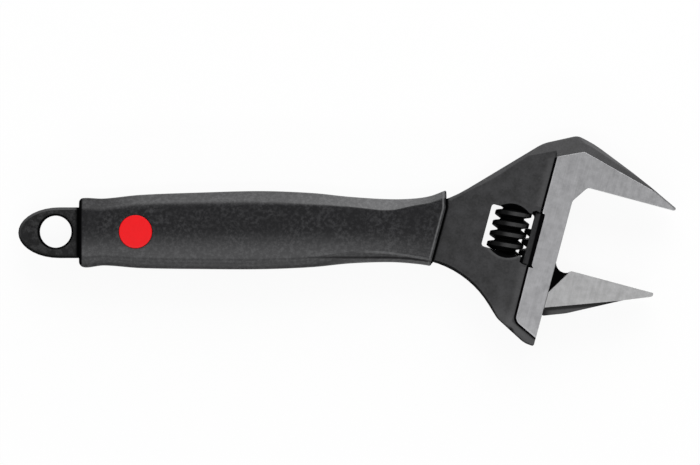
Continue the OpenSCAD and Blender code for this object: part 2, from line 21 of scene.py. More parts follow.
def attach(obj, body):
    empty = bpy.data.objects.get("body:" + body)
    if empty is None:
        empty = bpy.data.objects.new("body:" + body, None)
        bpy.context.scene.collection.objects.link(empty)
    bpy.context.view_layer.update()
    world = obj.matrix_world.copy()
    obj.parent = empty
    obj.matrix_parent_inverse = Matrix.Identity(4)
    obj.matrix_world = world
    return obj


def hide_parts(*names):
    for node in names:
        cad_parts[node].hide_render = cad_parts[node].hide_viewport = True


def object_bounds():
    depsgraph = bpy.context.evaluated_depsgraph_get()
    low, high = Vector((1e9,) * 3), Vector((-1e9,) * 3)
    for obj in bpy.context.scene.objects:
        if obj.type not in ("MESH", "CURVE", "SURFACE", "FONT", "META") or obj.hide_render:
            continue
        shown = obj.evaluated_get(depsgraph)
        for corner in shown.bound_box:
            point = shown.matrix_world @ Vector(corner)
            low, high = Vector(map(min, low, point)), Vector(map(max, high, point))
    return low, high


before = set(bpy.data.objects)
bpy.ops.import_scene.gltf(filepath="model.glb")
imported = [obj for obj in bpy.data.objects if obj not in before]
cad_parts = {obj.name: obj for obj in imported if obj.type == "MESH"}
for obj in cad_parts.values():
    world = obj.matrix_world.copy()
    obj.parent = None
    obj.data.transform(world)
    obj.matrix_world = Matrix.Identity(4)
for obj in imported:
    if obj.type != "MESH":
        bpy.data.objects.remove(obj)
CAD_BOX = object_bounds()

LOG = logging.getLogger("wrench")
MM = 0.001
CAD_SHARP_DEG = 14.0
JOIN_M = 1e-6

Colour = tuple[float, float, float]
Point = tuple[float, float]
Input = Union["Wire", float, int, Sequence[float]]


# ---- Node expressions ----


class Wire:
    """One output of a node, on which arithmetic adds Math nodes."""

    def __init__(self, board: "Board", socket: bpy.types.NodeSocket) -> None:
        """Keeps a socket and what draws nodes in its tree."""
        self.board = board
        self.socket = socket

    def maths(self, operation: str, *terms: Input) -> "Wire":
        """Adds one Math node with these inputs, in order."""
        return self.board.node("ShaderNodeMath", {"operation": operation}, dict(enumerate(terms)))

    def __add__(self, other: Input) -> "Wire":
        """Sum."""
        return self.maths("ADD", self, other)

    def __radd__(self, other: Input) -> "Wire":
        """Sum, reflected."""
        return self.maths("ADD", other, self)

    def __sub__(self, other: Input) -> "Wire":
        """Difference."""
        return self.maths("SUBTRACT", self, other)

    def __rsub__(self, other: Input) -> "Wire":
        """Difference, reflected."""
        return self.maths("SUBTRACT", other, self)

    def __mul__(self, other: Input) -> "Wire":
        """Product."""
        return self.maths("MULTIPLY", self, other)

    def __rmul__(self, other: Input) -> "Wire":
        """Product, reflected."""
        return self.maths("MULTIPLY", other, self)

    def __truediv__(self, other: Input) -> "Wire":
        """Quotient."""
        return self.maths("DIVIDE", self, other)

    def __rtruediv__(self, other: Input) -> "Wire":
        """Quotient, reflected."""
        return self.maths("DIVIDE", other, self)

    def __gt__(self, other: Input) -> "Wire":
        """1 where this is greater, and 0 elsewhere."""
        return self.maths("GREATER_THAN", self, other)

    def __lt__(self, other: Input) -> "Wire":
        """1 where this is less, and 0 elsewhere."""
        return self.maths("LESS_THAN", self, other)

    def __or__(self, other: Input) -> "Wire":
        """The larger of two."""
        return self.maths("MAXIMUM", self, other)

    def size(self) -> "Wire":
        """Value without its sign."""
        return self.maths("ABSOLUTE", self)

    def root(self) -> "Wire":
        """Square root."""
        return self.maths("SQRT", self)

    def fraction(self) -> "Wire":
        """What stands above the whole number below it."""
        return self.maths("FRACT", self)

    def sine(self) -> "Wire":
        """Sine of an angle."""
        return self.maths("SINE", self)

    def cosine(self) -> "Wire":
        """Cosine of an angle."""
        return self.maths("COSINE", self)

    def within(self, low: float, high: float) -> "Wire":
        """1 between low and high, and 0 elsewhere."""
        return (self > low) * (self < high)

    def fade(self, low: float, high: float, top: float = 1.0) -> "Wire":
        """Goes from a value down to 0 while this runs from low to high."""
        return self.ramp(low, high, top, 0.0)

    def band(self, rise: Point, fall: Point) -> "Wire":
        """Goes up to 1 over one stretch and back down to 0 over another."""
        return self.ramp(*rise) * self.fade(*fall)

    def ramp(
        self, low: float, high: float, bottom: Input = 0.0, top: Input = 1.0, eased: bool = True
    ) -> "Wire":
        """Goes from one value to another while this runs from low to high."""
        settings = {"interpolation_type": "SMOOTHSTEP" if eased else "LINEAR", "clamp": True}
        return self.board.node("ShaderNodeMapRange", settings, {0: self, 1: low, 2: high, 3: bottom, 4: top})


class Board:
    """Draws nodes in one tree."""

    def __init__(self, tree: bpy.types.NodeTree) -> None:
        """Keeps the tree that the nodes go into."""
        self.tree = tree

    def node(
        self,
        kind: str,
        settings: Optional[dict[str, object]] = None,
        inputs: Optional[dict[Union[int, str], Input]] = None,
        output: Union[int, str, None] = 0,
    ) -> Wire:
        """Adds any node.

        Args:
            kind: the node's type.
            settings: its properties, which are set first.
            inputs: the value or the wire of each socket, by place or by name.
            output: which output to use, or None for a node that has none.

        Returns:
            The chosen output.
        """
        made = self.tree.nodes.new(kind)
        for key, value in (settings or {}).items():
            setattr(made, key, value)
        for key, value in (inputs or {}).items():
            if isinstance(value, Wire):
                self.tree.links.new(value.socket, made.inputs[key])
            else:
                made.inputs[key].default_value = value
        return Wire(self, None if output is None else made.outputs[output])

    def vector(self, operation: str, *terms: Input, output: Union[int, str] = 0) -> Wire:
        """Adds one Vector Math node."""
        return self.node("ShaderNodeVectorMath", {"operation": operation}, dict(enumerate(terms)), output)

    def dot(self, place: Wire, way: Sequence[float]) -> Wire:
        """Length of a vector along a way."""
        return self.vector("DOT_PRODUCT", place, way, output="Value")

    def parts(self, vector: Wire) -> tuple[Wire, Wire, Wire]:
        """Splits a vector into its parts along X, Y and Z."""
        x, y, z = self.node("ShaderNodeSeparateXYZ", {}, {0: vector}).socket.node.outputs
        return Wire(self, x), Wire(self, y), Wire(self, z)

    def scale(self, vector: Input, by: Input) -> Wire:
        """Multiplies a vector or a colour by a number."""
        return self.node("ShaderNodeVectorMath", {"operation": "SCALE"}, {0: vector, "Scale": by})


class Pen(Board):
    """Draws the nodes of one material."""

    def __init__(self, name: str) -> None:
        """Makes an empty material.

        Args:
            name: the material's name.
        """
        self.material = bpy.data.materials.new(name)
        self.material.use_nodes = True
        super().__init__(self.material.node_tree)
        self.tree.nodes.clear()

    def mix(self, share: Input, low: Input, high: Input) -> Wire:
        """Mixes two colours, by the share of the second."""
        inputs = {0: share, 6: opaque(low), 7: opaque(high)}
        return self.node("ShaderNodeMix", {"data_type": "RGBA", "clamp_factor": True}, inputs, 2)

    def blend(self, share: Input, low: Wire, high: Wire) -> Wire:
        """Mixes two shaders by share."""
        return self.node("ShaderNodeMixShader", {}, {0: share, 1: low, 2: high})

    def place_mm(self) -> Wire:
        """Place on the piece in its own coordinates, in millimetres."""
        place = self.node("ShaderNodeTexCoord", {}, {}, "Object")
        return self.vector("MULTIPLY", place, (1 / MM,) * 3)

    def facing(self) -> Wire:
        """The way that the surface faces, in the piece's own coordinates."""
        return self.node("ShaderNodeTexCoord", {}, {}, "Normal")

    def noise(self, place: Wire, scale: float, detail: float = 2.0, roughness: float = 0.5) -> Wire:
        """Noise from 0 to 1, with scale cycles for one unit of the place."""
        inputs = {"Vector": place, "Scale": scale, "Detail": detail, "Roughness": roughness}
        return self.node("ShaderNodeTexNoise", {}, inputs)

    def soft_edges(self, radius_mm: float) -> Wire:
        """Normal that rounds every edge in the shading."""
        return self.node("ShaderNodeBevel", {"samples": 6}, {"Radius": radius_mm * MM})

    def bump(self, height: Wire, depth_mm: float, normal: Optional[Wire] = None) -> Wire:
        """Bumps the surface.

        Args:
            height: the relief, from 0 to 1.
            depth_mm: how deep the whole relief is.
            normal: the normal that it starts from.

        Returns:
            The bumped normal.
        """
        inputs: dict[Union[int, str], Input] = {"Distance": depth_mm * MM, "Height": height}
        if normal is not None:
            inputs["Normal"] = normal
        return self.node("ShaderNodeBump", {}, inputs)

    def surface(
        self,
        colour: Input,
        roughness: Input,
        normal: Wire,
        metallic: float = 0.0,
        specular: float = 0.5,
        coat: float = 0.0,
    ) -> Wire:
        """Adds one Principled surface.

        Args:
            colour: its base colour.
            roughness: its roughness.
            normal: its normal.
            metallic: 1 for bare metal.
            specular: strength of the gloss on what isn't metal.
            coat: weight of a clear coat.

        Returns:
            The surface's shader.
        """
        inputs = {
            "Base Color": colour if isinstance(colour, Wire) else opaque(colour),
            "Roughness": roughness,
            "Normal": normal,
            "Metallic": metallic,
            "Specular IOR Level": specular,
            "Coat Weight": coat,
            "Coat Roughness": 0.15,
        }
        return self.node("ShaderNodeBsdfPrincipled", {}, inputs)

    def finish(self, shader: Wire) -> bpy.types.Material:
        """Ends the material with what its surface shows."""
        self.node("ShaderNodeOutputMaterial", {}, {"Surface": shader}, output=None)
        return self.material


def opaque(colour: Input) -> Input:
    """Gives a plain colour full alpha, and leaves a wire as it is."""
    return colour if isinstance(colour, Wire) else (*colour, 1.0)


def scaled(colour: Colour, by: float) -> Colour:
    """Makes a colour lighter or darker by a factor."""
    return (colour[0] * by, colour[1] * by, colour[2] * by)


# ---- Places in the head ----


@dataclass(frozen=True)
class Head:
    """Places in the head, in millimetres, that finishes and pieces share."""

    corner_mm: Point = (203.3, 18.4)
    turn_deg: float = 15.0
    half_flat_mm: float = 7.0
    half_forged_mm: float = 6.0
    half_tip_mm: float = 5.0
    strip_mm: float = 10.1
    jaw_mm: float = 39.8
    opening_mm: float = 33.1
    worm_across_mm: float = -20.8
    worm_along_mm: float = -24.2

    @property
    def across(self) -> Vector:
        """Way that points to the jaw tips."""
        turn = math.radians(self.turn_deg)
        return Vector((math.cos(turn), -math.sin(turn), 0.0))

    @property
    def along(self) -> Vector:
        """Way that points up the slide."""
        turn = math.radians(self.turn_deg)
        return Vector((math.sin(turn), math.cos(turn), 0.0))

    def spot(self, across_mm: float, along_mm: float, up_mm: float = 0.0) -> Vector:
        """Turns a place in the head's frame into one in the whole wrench's frame."""
        corner = Vector((*self.corner_mm, up_mm))
        return (corner + across_mm * self.across + along_mm * self.along) * MM


HEAD = Head()


@dataclass(frozen=True)
class Handle:
    """Places along the handle, in millimetres, that the forging and the grip share."""

    start_mm: float = 9.2
    length_mm: float = 143.3
    knee_mm: float = 9.2

    @property
    def end_mm(self) -> float:
        """Where the grip's mouth lies above its knee."""
        return self.start_mm + self.length_mm

    @property
    def slant(self) -> float:
        """How far the mouth falls back for each millimetre below its knee."""
        return math.tan(math.radians(HEAD.turn_deg))

    def past_mouth(self, x: Wire, y: Wire) -> Wire:
        """Distance along the handle past the grip's slanted mouth."""
        return x - self.end_mm + ((self.knee_mm - y) | 0.0) * self.slant


HANDLE = Handle()


class HeadPlace:
    """Wires that say where a shaded point lies in the head's frame, and how it faces."""

    def __init__(self, pen: Pen) -> None:
        """Draws the wires.

        Args:
            pen: what draws the material's nodes.
        """
        corner = Vector((*HEAD.corner_mm, 0.0))
        self.pen = pen
        self.place = pen.place_mm()
        self.facing = pen.facing()
        self.across = pen.dot(self.place, HEAD.across) - corner.dot(HEAD.across)
        self.along = pen.dot(self.place, HEAD.along) - corner.dot(HEAD.along)
        self.x, self.y, height = pen.parts(self.place)
        self.height = height.size()
        self.steep = pen.parts(self.facing)[2].size()
        slope = (HEAD.half_flat_mm - HEAD.half_tip_mm) / (HEAD.jaw_mm + HEAD.strip_mm)
        self.below_flat = HEAD.half_flat_mm - slope * ((self.across + HEAD.strip_mm) | 0.0) - self.height

    def faces(self, across: float, along: float) -> Wire:
        """How far the surface faces a way in the head's frame."""
        return self.pen.dot(self.facing, across * HEAD.across + along * HEAD.along)

    def on_flat(self, slack_mm: float = 0.06) -> Wire:
        """1 on the ground flats, and 0 elsewhere."""
        return (self.below_flat < slack_mm) * (self.steep > 0.9)

    def box(self, across: Point, along: Point) -> Wire:
        """1 inside a rectangle of the head, and 0 elsewhere."""
        return self.across.within(*across) * self.along.within(*along)


# ---- Finishes ----


@dataclass(frozen=True)
class ForgedCoat:
    """Matt black coat over the forging's faint unevenness."""

    colour: Colour = (0.0155, 0.0155, 0.0165)
    # Lighter tone for painted highlights, and for real smears on the tab.
    highlight_and_wear: Colour = (0.060, 0.060, 0.062)
    roughness: float = 0.42
    specular: float = 0.26
    cloud_mm: float = 5.0
    grain_mm: float = 0.9
    grain_depth_mm: float = 0.03

    def shade(self, pen: Pen, place: Wire, normal: Wire, highlight_and_rubbing: Optional[Wire] = None) -> Wire:
        """Draws the coat.

        Args:
            pen: what draws the material's nodes.
            place: place on the piece in millimetres.
            normal: the normal to start from.
            highlight_and_rubbing: share by which the coat is lighter, from painted highlight and, on the
                tab, from real smears.

        Returns:
            The shader.
        """
        cloud = pen.noise(place, 1 / self.cloud_mm, 5.0, 0.65)
        grain = pen.noise(place, 1 / self.grain_mm, 3.0, 0.7)
        depth = 0.6 * cloud.ramp(0.3, 0.7) + 0.4 * grain.ramp(0.3, 0.7)
        tone = pen.mix(depth, scaled(self.colour, 0.25), scaled(self.colour, 1.9))
        # Painted highlights, and real smears on the tab, lighten the coat here.
        if highlight_and_rubbing is not None:
            tone = pen.mix(highlight_and_rubbing * (0.55 + 0.9 * grain), tone, self.highlight_and_wear)
        rough = self.roughness + 0.20 * (cloud - 0.5) + 0.20 * (grain - 0.5)
        bumped = pen.bump(grain + 0.8 * cloud, self.grain_depth_mm, normal)
        return pen.surface(tone, rough, bumped, specular=self.specular)


@dataclass(frozen=True)
class GroundSteel:
    """Satin steel with fine grinding lines and faint stains."""

    colour: Colour = (0.240, 0.240, 0.246)
    roughness: float = 0.32
    line_mm: float = 0.22
    length_mm: float = 9.0
    depth_mm: float = 0.004
    streak: float = 0.34
    band_times: float = 6.0
    cloud: float = 0.62

    def shade(self, pen: Pen, at: HeadPlace, normal: Wire, bright: Optional[Wire] = None) -> Wire:
        """Draws the ground steel.

        Args:
            pen: what draws the material's nodes.
            at: where the shaded point lies in the head.
            normal: the normal to start from.
            bright: how much brighter the steel is, where a highlight is painted on it.

        Returns:
            The shader.
        """
        lines = pen.noise(self.stretched(at, 1.0), 1.0, 4.0, 0.65)
        bands = pen.noise(self.stretched(at, self.band_times), 1.0, 2.0, 0.5)
        cloud = pen.noise(at.place, 0.35, 5.0, 0.7)
        level = 1 + self.streak * (lines - 0.5) + 0.5 * self.streak * (bands - 0.5)
        level = level + self.cloud * (cloud - 0.5)
        if bright is not None:
            level = level + bright
        tone = pen.scale(self.colour, level)
        rough = self.roughness + 0.12 * (lines - 0.5) + 0.10 * (cloud - 0.5)
        return pen.surface(tone, rough, pen.bump(lines, self.depth_mm, normal), metallic=1.0)

    def stretched(self, at: HeadPlace, by: float) -> Wire:
        """Place squeezed across the grinding lines, which run up the slide, and stretched along them.

        Args:
            at: where the shaded point lies in the head.
            by: how much wider than the finest lines.

        Returns:
            The stretched place.
        """
        inputs = {
            0: at.across / (self.line_mm * by),
            1: at.along / (self.length_mm * by),
            2: at.height / (self.line_mm * 4),
        }
        return at.pen.node("ShaderNodeCombineXYZ", {}, inputs)


@dataclass(frozen=True)
class PaintedShade:
    """Near-black painted shade, for corners, gaps and edges that little light reaches."""

    colour: Colour = (0.0022, 0.0022, 0.0024)
    roughness: float = 0.75
    specular: float = 0.0

    def shade(self, pen: Pen, normal: Wire) -> Wire:
        """Draws the painted shade with a given normal."""
        return pen.surface(self.colour, self.roughness, normal, specular=self.specular)


@dataclass(frozen=True)
class OxideSteel:
    """Blackened steel of the worm, with a little real polish on the crests."""

    # Very dark, darker than bare oxide: the blackened steel's own colour, deepened as painted shade in the
    # thread's valleys.
    colour: Colour = (0.0012, 0.0012, 0.0013)
    crest: Colour = (0.020, 0.020, 0.0205)
    roughness: float = 0.34
    specular: float = 0.02
    crest_specular: float = 0.26
    grain_mm: float = 0.35
    grain_depth_mm: float = 0.012

    def shade(self, pen: Pen, place: Wire, normal: Wire, polish_and_highlight: Optional[Wire] = None) -> Wire:
        """Draws the blackened steel.

        Args:
            pen: what draws the material's nodes.
            place: place on the piece in millimetres.
            normal: the normal to start from.
            polish_and_highlight: share by which the crests are lighter, from real polish and from painted
                highlight.

        Returns:
            The shader.
        """
        grain = pen.noise(place, 1 / self.grain_mm, 3.0, 0.6)
        rough = self.roughness + 0.2 * (grain - 0.5)
        bumped = pen.bump(grain, self.grain_depth_mm, normal)
        deep = pen.mix(grain, scaled(self.colour, 0.6), scaled(self.colour, 1.4))
        dull = pen.surface(deep, rough + 0.2, bumped, specular=self.specular)
        if polish_and_highlight is None:
            return dull
        high = pen.mix(grain, scaled(self.crest, 0.5), scaled(self.crest, 1.5))
        return pen.blend(polish_and_highlight, dull, pen.surface(high, rough, bumped, specular=self.crest_specular))


@dataclass(frozen=True)
class SpringSteel:
    """Bright drawn wire with marks along it."""

    colour: Colour = (0.30, 0.30, 0.31)
    roughness: float = 0.3
    mark_mm: float = 0.15
    mark_depth_mm: float = 0.004

    def shade(self, pen: Pen, place: Wire, normal: Wire) -> Wire:
        """Draws the wire.

        Args:
            pen: what draws the material's nodes.
            place: place on the piece in millimetres.
            normal: the normal to start from.

        Returns:
            The shader.
        """
        marks = pen.noise(place, 1 / self.mark_mm, 2.0)
        tone = pen.mix(marks, scaled(self.colour, 0.7), scaled(self.colour, 1.15))
        bumped = pen.bump(marks, self.mark_depth_mm, normal)
        return pen.surface(tone, self.roughness + 0.15 * marks, bumped, metallic=1.0)


@dataclass(frozen=True)
class GripPlastic:
    """Hard moulded plastic with a fine mottled grain."""

    colour: Colour = (0.0042, 0.0042, 0.0050)
    fleck: Colour = (0.034, 0.034, 0.036)
    # Lighter tone for the grip's painted highlights.
    highlight_and_wear: Colour = (0.124, 0.124, 0.127)
    roughness: float = 0.38
    specular: float = 0.15
    grain_mm: float = 1.1
    fleck_mm: float = 1.5
    grain_depth_mm: float = 0.05

    def shade(self, pen: Pen, place: Wire, normal: Wire, highlight_and_rubbing: Wire) -> Wire:
        """Draws the plastic.

        Args:
            pen: what draws the material's nodes.
            place: place on the piece in millimetres.
            normal: the normal to start from.
            highlight_and_rubbing: share of painted highlight that makes the plastic lighter.

        Returns:
            The shader.
        """
        grain = pen.noise(place, 1 / self.grain_mm, 3.0, 0.65)
        flecks = pen.noise(place, 1 / self.fleck_mm, 4.0, 0.75).ramp(0.42, 0.66)
        cloud = pen.noise(place, 0.09, 3.0, 0.6).ramp(0.3, 0.7)
        tone = pen.mix(flecks * (0.35 + 0.65 * cloud), self.colour, self.fleck)
        # Painted highlights lighten the plastic here.
        tone = pen.mix(highlight_and_rubbing * (0.7 + 0.3 * flecks), tone, self.highlight_and_wear)
        rough = self.roughness + 0.30 * (grain - 0.5)
        return pen.surface(tone, rough, pen.bump(grain, self.grain_depth_mm, normal), specular=self.specular)


@dataclass(frozen=True)
class InlayPlastic:
    """Glossy plain red plastic with a trace of moulding flow."""

    colour: Colour = (0.80, 0.0098, 0.0135)
    roughness: float = 0.3
    specular: float = 0.14
    grain_depth_mm: float = 0.006

    def shade(self, pen: Pen, place: Wire, normal: Wire) -> Wire:
        """Draws the plastic.

        Args:
            pen: what draws the material's nodes.
            place: place on the piece in millimetres.
            normal: the normal to start from.

        Returns:
            The shader.
        """
        flow = pen.noise(place, 0.35, 2.0)
        grain = pen.noise(place, 4.0, 2.0)
        tone = pen.mix(flow, scaled(self.colour, 0.94), scaled(self.colour, 1.04))
        rough = self.roughness + 0.12 * (grain - 0.5)
        return pen.surface(tone, rough, pen.bump(grain, self.grain_depth_mm, normal), specular=self.specular)


# ---- Mesh tools ----


def add_mesh(name: str, form: bmesh.types.BMesh, sharp_deg: float = 32.0) -> bpy.types.Object:
    """Turns a form into a piece with smooth faces and sharp edges.

    Args:
        name: the piece's name.
        form: the form, which is freed.
        sharp_deg: angle from which an edge stays sharp.

    Returns:
        The piece.
    """
    for face in form.faces:
        face.smooth = True
    for edge in form.edges:
        edge.smooth = edge.calc_face_angle(math.pi) < math.radians(sharp_deg)
    mesh = bpy.data.meshes.new(name)
    form.to_mesh(mesh)
    form.free()
    piece = bpy.data.objects.new(name, mesh)
    bpy.context.scene.collection.objects.link(piece)
    return piece


def merged_form(node: str) -> bmesh.types.BMesh:
    """Copies a CAD node with its loose triangles joined at their corners.

    Args:
        node: the CAD node's name.

    Returns:
        The form.
    """
    form = bmesh.new()
    form.from_mesh(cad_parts[node].data)
    bmesh.ops.remove_doubles(form, verts=form.verts, dist=JOIN_M)
    return form


def dress(piece: bpy.types.Object, material: bpy.types.Material) -> None:
    """Gives a piece its one material."""
    piece.data.materials.clear()
    piece.data.materials.append(material)


class Body(Enum):
    """Body of the frame that a piece rides on."""

    HANDLE = "handle"
    JAW = "jaw"
    WORM = "worm"


def settle(
    piece: bpy.types.Object, material: bpy.types.Material, body: Body, node: str
) -> bpy.types.Object:
    """Dresses a piece and lets it ride on a body in place of a CAD node.

    Args:
        piece: the piece.
        material: its material.
        body: the body it rides on.
        node: the CAD node that it stands for.

    Returns:
        The piece.
    """
    dress(piece, material)
    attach(piece, body.value)
    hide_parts(node)
    return piece


class Plan(Board):
    """Draws one Geometry Nodes tree and makes its piece."""

    def __init__(self, name: str, sizes: dict[str, Union[int, float]]) -> None:
        """Makes an empty tree with named inputs.

        Args:
            name: name of the tree and of the piece.
            sizes: each input's name and value.
        """
        super().__init__(bpy.data.node_groups.new(name, "GeometryNodeTree"))
        self.name = name
        self.tree.interface.new_socket("Geometry", in_out="OUTPUT", socket_type="NodeSocketGeometry")
        self.values: dict[str, Union[int, float]] = {}
        for label, value in sizes.items():
            kind = "NodeSocketInt" if isinstance(value, int) else "NodeSocketFloat"
            socket = self.tree.interface.new_socket(label, in_out="INPUT", socket_type=kind)
            self.values[socket.identifier] = value
        self.inputs = self.tree.nodes.new("NodeGroupInput")

    def size(self, label: str) -> Wire:
        """The named input."""
        return Wire(self, self.inputs.outputs[label])

    def place(self) -> tuple[Wire, Wire, Wire]:
        """The parts of each corner's place."""
        return self.parts(self.node("GeometryNodeInputPosition"))

    def make(self, geometry: Wire, material: bpy.types.Material) -> bpy.types.Object:
        """Ends the tree and turns its result into a plain piece.

        Args:
            geometry: what the tree makes.
            material: the piece's material.

        Returns:
            The piece, with no modifier left.
        """
        whole = self.node("GeometryNodeRealizeInstances", {}, {0: geometry})
        painted = self.node("GeometryNodeSetMaterial", {}, {"Geometry": whole, "Material": material})
        output = self.tree.nodes.new("NodeGroupOutput")
        self.tree.links.new(painted.socket, output.inputs[0])
        holder = bpy.data.objects.new(self.name, bpy.data.meshes.new(self.name))
        bpy.context.scene.collection.objects.link(holder)
        modifier = holder.modifiers.new("rule", "NODES")
        modifier.node_group = self.tree
        for identifier, value in self.values.items():
            modifier[identifier] = value
        graph = bpy.context.evaluated_depsgraph_get()
        mesh = bpy.data.meshes.new_from_object(holder.evaluated_get(graph))
        holder.modifiers.remove(modifier)
        form = bmesh.new()
        form.from_mesh(mesh)
        bmesh.ops.recalc_face_normals(form, faces=form.faces)
        bpy.data.objects.remove(holder)
        return add_mesh(self.name, form)


# ---- Forged body ----


class BodyPlace(HeadPlace):
    """Wires of the forging: rounded edges, the window, the facet and the ground pad."""

    low_side: tuple[float, float, float] = (-0.35, -0.94, 0.0)
    high_turn: Point = (0.25, 0.6)
    low_turn: Point = (0.30, 0.52)
    fillet_turn: Point = (0.04, 0.12)
    facet_steep: Point = (0.45, 0.80)

    def __init__(self, pen: Pen, size: "ForgedBody") -> None:
        """Draws the wires.

        Args:
            pen: what draws the material's nodes.
            size: the forging's sizes.
        """
        super().__init__(pen)
        self.normal = pen.soft_edges(size.edge_mm)
        self.rim = pen.soft_edges(size.rim_mm)
        low = pen.dot(self.rim, self.low_side)
        self.high = pen.parts(self.rim)[1].ramp(*self.high_turn)
        self.low = low.ramp(*self.low_turn)
        self.fillet = low.ramp(*self.fillet_turn) * (1 - self.low)
        self.window = self.box(size.window_across_mm, size.window_along_mm)
        self.outside = size.outside_pad(self)
        turned = self.faces(0.5, 0.85) > 0.45
        self.facet = self.steep.within(*self.facet_steep) * turned * (self.along > 0.0)


@dataclass(frozen=True)
class BodyLightAndWear:
    """How far each part of the forging is rubbed lighter."""
    # Strengths of the forging's painted highlights, of real smears on the tab and of painted shade.

    pad: float = 0.55
    back: float = 0.45
    fillet: float = 0.22
    sill: float = 0.6
    lip: float = 0.35
    smears: float = 0.5
    steel: float = 0.22
    hidden: float = 0.85


@dataclass
class ForgedBody:
    """Tab, shank, neck, head and fixed jaw: one forging, black but for its ground flats."""

    node: str = "body"
    hole_mm: float = 6.25
    window_across_mm: Point = (-30.2, -9.2)
    window_along_mm: Point = (-36.2, -12.2)
    pad_top_mm: float = 8.0
    pad_edge_mm: Point = (-10.1, -9.45)
    pad_foot_mm: Point = (-57.4, -61.55)
    pad_highlight_mm: tuple[Point, Point] = ((0.7, 1.4), (1.8, 4.5))
    step_across_mm: Point = (-14.0, 0.5)
    step_low_mm: float = -64.0
    sill_middle_mm: Point = (-20.8, -25.2)
    sill_radius_mm: float = 9.5
    sill_highlight_mm: tuple[Point, Point] = ((0.0, 0.3), (0.5, 1.4))
    sill_across_mm: Point = (-29.0, -11.0)
    sill_along_mm: Point = (-38.0, -31.5)
    relief_across_mm: Point = (-13.6, -12.2)
    tip_across_mm: Point = (28.0, 30.0)
    edge_mm: float = 0.25
    rim_mm: float = 1.3
    light_and_wear: BodyLightAndWear = BodyLightAndWear()
    coat: ForgedCoat = ForgedCoat()
    tab_coat: ForgedCoat = ForgedCoat(
        colour=(0.0050, 0.0050, 0.0053), highlight_and_wear=(0.045, 0.045, 0.046), specular=0.12
    )
    steel: GroundSteel = GroundSteel()
    painted_shade: PaintedShade = PaintedShade()

    def build(self) -> list[bpy.types.Object]:
        """Makes the forging and dresses it."""
        piece = add_mesh("forged_body", merged_form(self.node), CAD_SHARP_DEG)
        return [settle(piece, self.material(), Body.HANDLE, self.node)]

    def material(self) -> bpy.types.Material:
        """Draws the forging's material: coat with painted highlights, ground flats, and painted shade in
        hollows, on low edges and round the grip's ends.

        Returns:
            The material.
        """
        pen = Pen("forging")
        at = BodyPlace(pen, self)
        # The head's coat carries painted highlights; the tab's, a painted highlight on its chamfer and real
        # smears.
        coat = self.coat.shade(pen, at.place, at.normal, self.head_highlights(at))
        tab = self.tab_coat.shade(pen, at.place, at.normal, self.tab_highlights_and_smears(at))
        # Painted highlight on the steel along the pad's edge.
        lit = self.light_and_wear.steel * at.outside.ramp(-0.55, -0.15) * (at.along < self.pad_top_mm)
        steel = self.steel.shade(pen, at, at.normal, lit)
        painted_shade = self.painted_shade.shade(pen, at.normal)
        painted = pen.blend(at.x < HANDLE.start_mm, coat, tab)
        # Painted shade, drawn with the near-black shade finish, covers the places that dark() picks.
        return pen.finish(pen.blend(self.ground(at), pen.blend(self.dark(at), painted, painted_shade), steel))

    def head_highlights(self, at: BodyPlace) -> Wire:
        """Painted highlights on the head's coat: beside the pad, on edges, shoulder, fillet, sill and lip.

        Args:
            at: where the shaded point lies.

        Returns:
            The share of painted highlight.
        """
        # Painted highlight: a lighter band beside the pad's left edge.
        beside = at.outside.band(*self.pad_highlight_mm) * (1 - at.window)
        beside = beside * at.along.fade(self.pad_top_mm - 2.0, self.pad_top_mm + 2.5)
        # Painted highlight on the fixed jaw's outer facet, stronger towards the tip.
        shoulder = at.facet * at.across.ramp(-9.0, 12.0, 0.1, 1.0) * at.below_flat.ramp(0.5, 1.6, 0.45, 1.2)
        foot = self.pad_foot_mm[0]
        # Painted highlight on the lip beyond the pad's foot.
        lip = at.along.fade(foot - 1.0, foot + 5.0) * at.outside.ramp(1.0, 1.7)
        light_and_wear = self.light_and_wear
        # Painted highlights also on edges that face +Y, on the fillet and on the sill.
        highlight_and_rubbing = light_and_wear.pad * beside + shoulder + light_and_wear.back * at.high + light_and_wear.fillet * at.fillet
        return highlight_and_rubbing + light_and_wear.sill * self.sill(at) + light_and_wear.lip * lip

    def tab_highlights_and_smears(self, at: BodyPlace) -> Wire:
        """Painted highlight on the hanging tab's chamfer, stronger on its upper side, and real smears on the
        tab.
        """
        # Painted highlight on the chamfer; the smears are real.
        chamfer = at.steep.within(0.4, 0.95) * (0.45 + 0.55 * at.high)
        return chamfer | self.light_and_wear.smears * at.pen.noise(at.place, 0.35, 5.0, 0.75).ramp(0.44, 0.60)

    def ground(self, at: BodyPlace) -> Wire:
        """The ground flats and the mouth's face, without the line of painted shade along the tip.

        Args:
            at: where the shaded point lies.

        Returns:
            1 on ground steel, and 0 elsewhere.
        """
        mouth = (at.faces(0.7, -0.7) > 0.5) * (at.across > -0.3) * (at.along < 0.3)
        outward = at.pen.dot(at.rim, 0.5 * HEAD.across + 0.85 * HEAD.along)
        # Painted shade: a dark line along the fixed jaw's tip, which takes the steel off there.
        tip_shade = at.across.ramp(*self.tip_across_mm) * outward.ramp(0.15, 0.4)
        return (at.on_flat() | mouth) * (1 - self.light_and_wear.hidden * tip_shade)

    def dark(self, at: BodyPlace) -> Wire:
        """Where little light reaches: steps, scoops, the hole's ring and both ends of the grip.

        Args:
            at: where the shaded point lies.

        Returns:
            1 where it is darkest, and 0 in the open.
        """
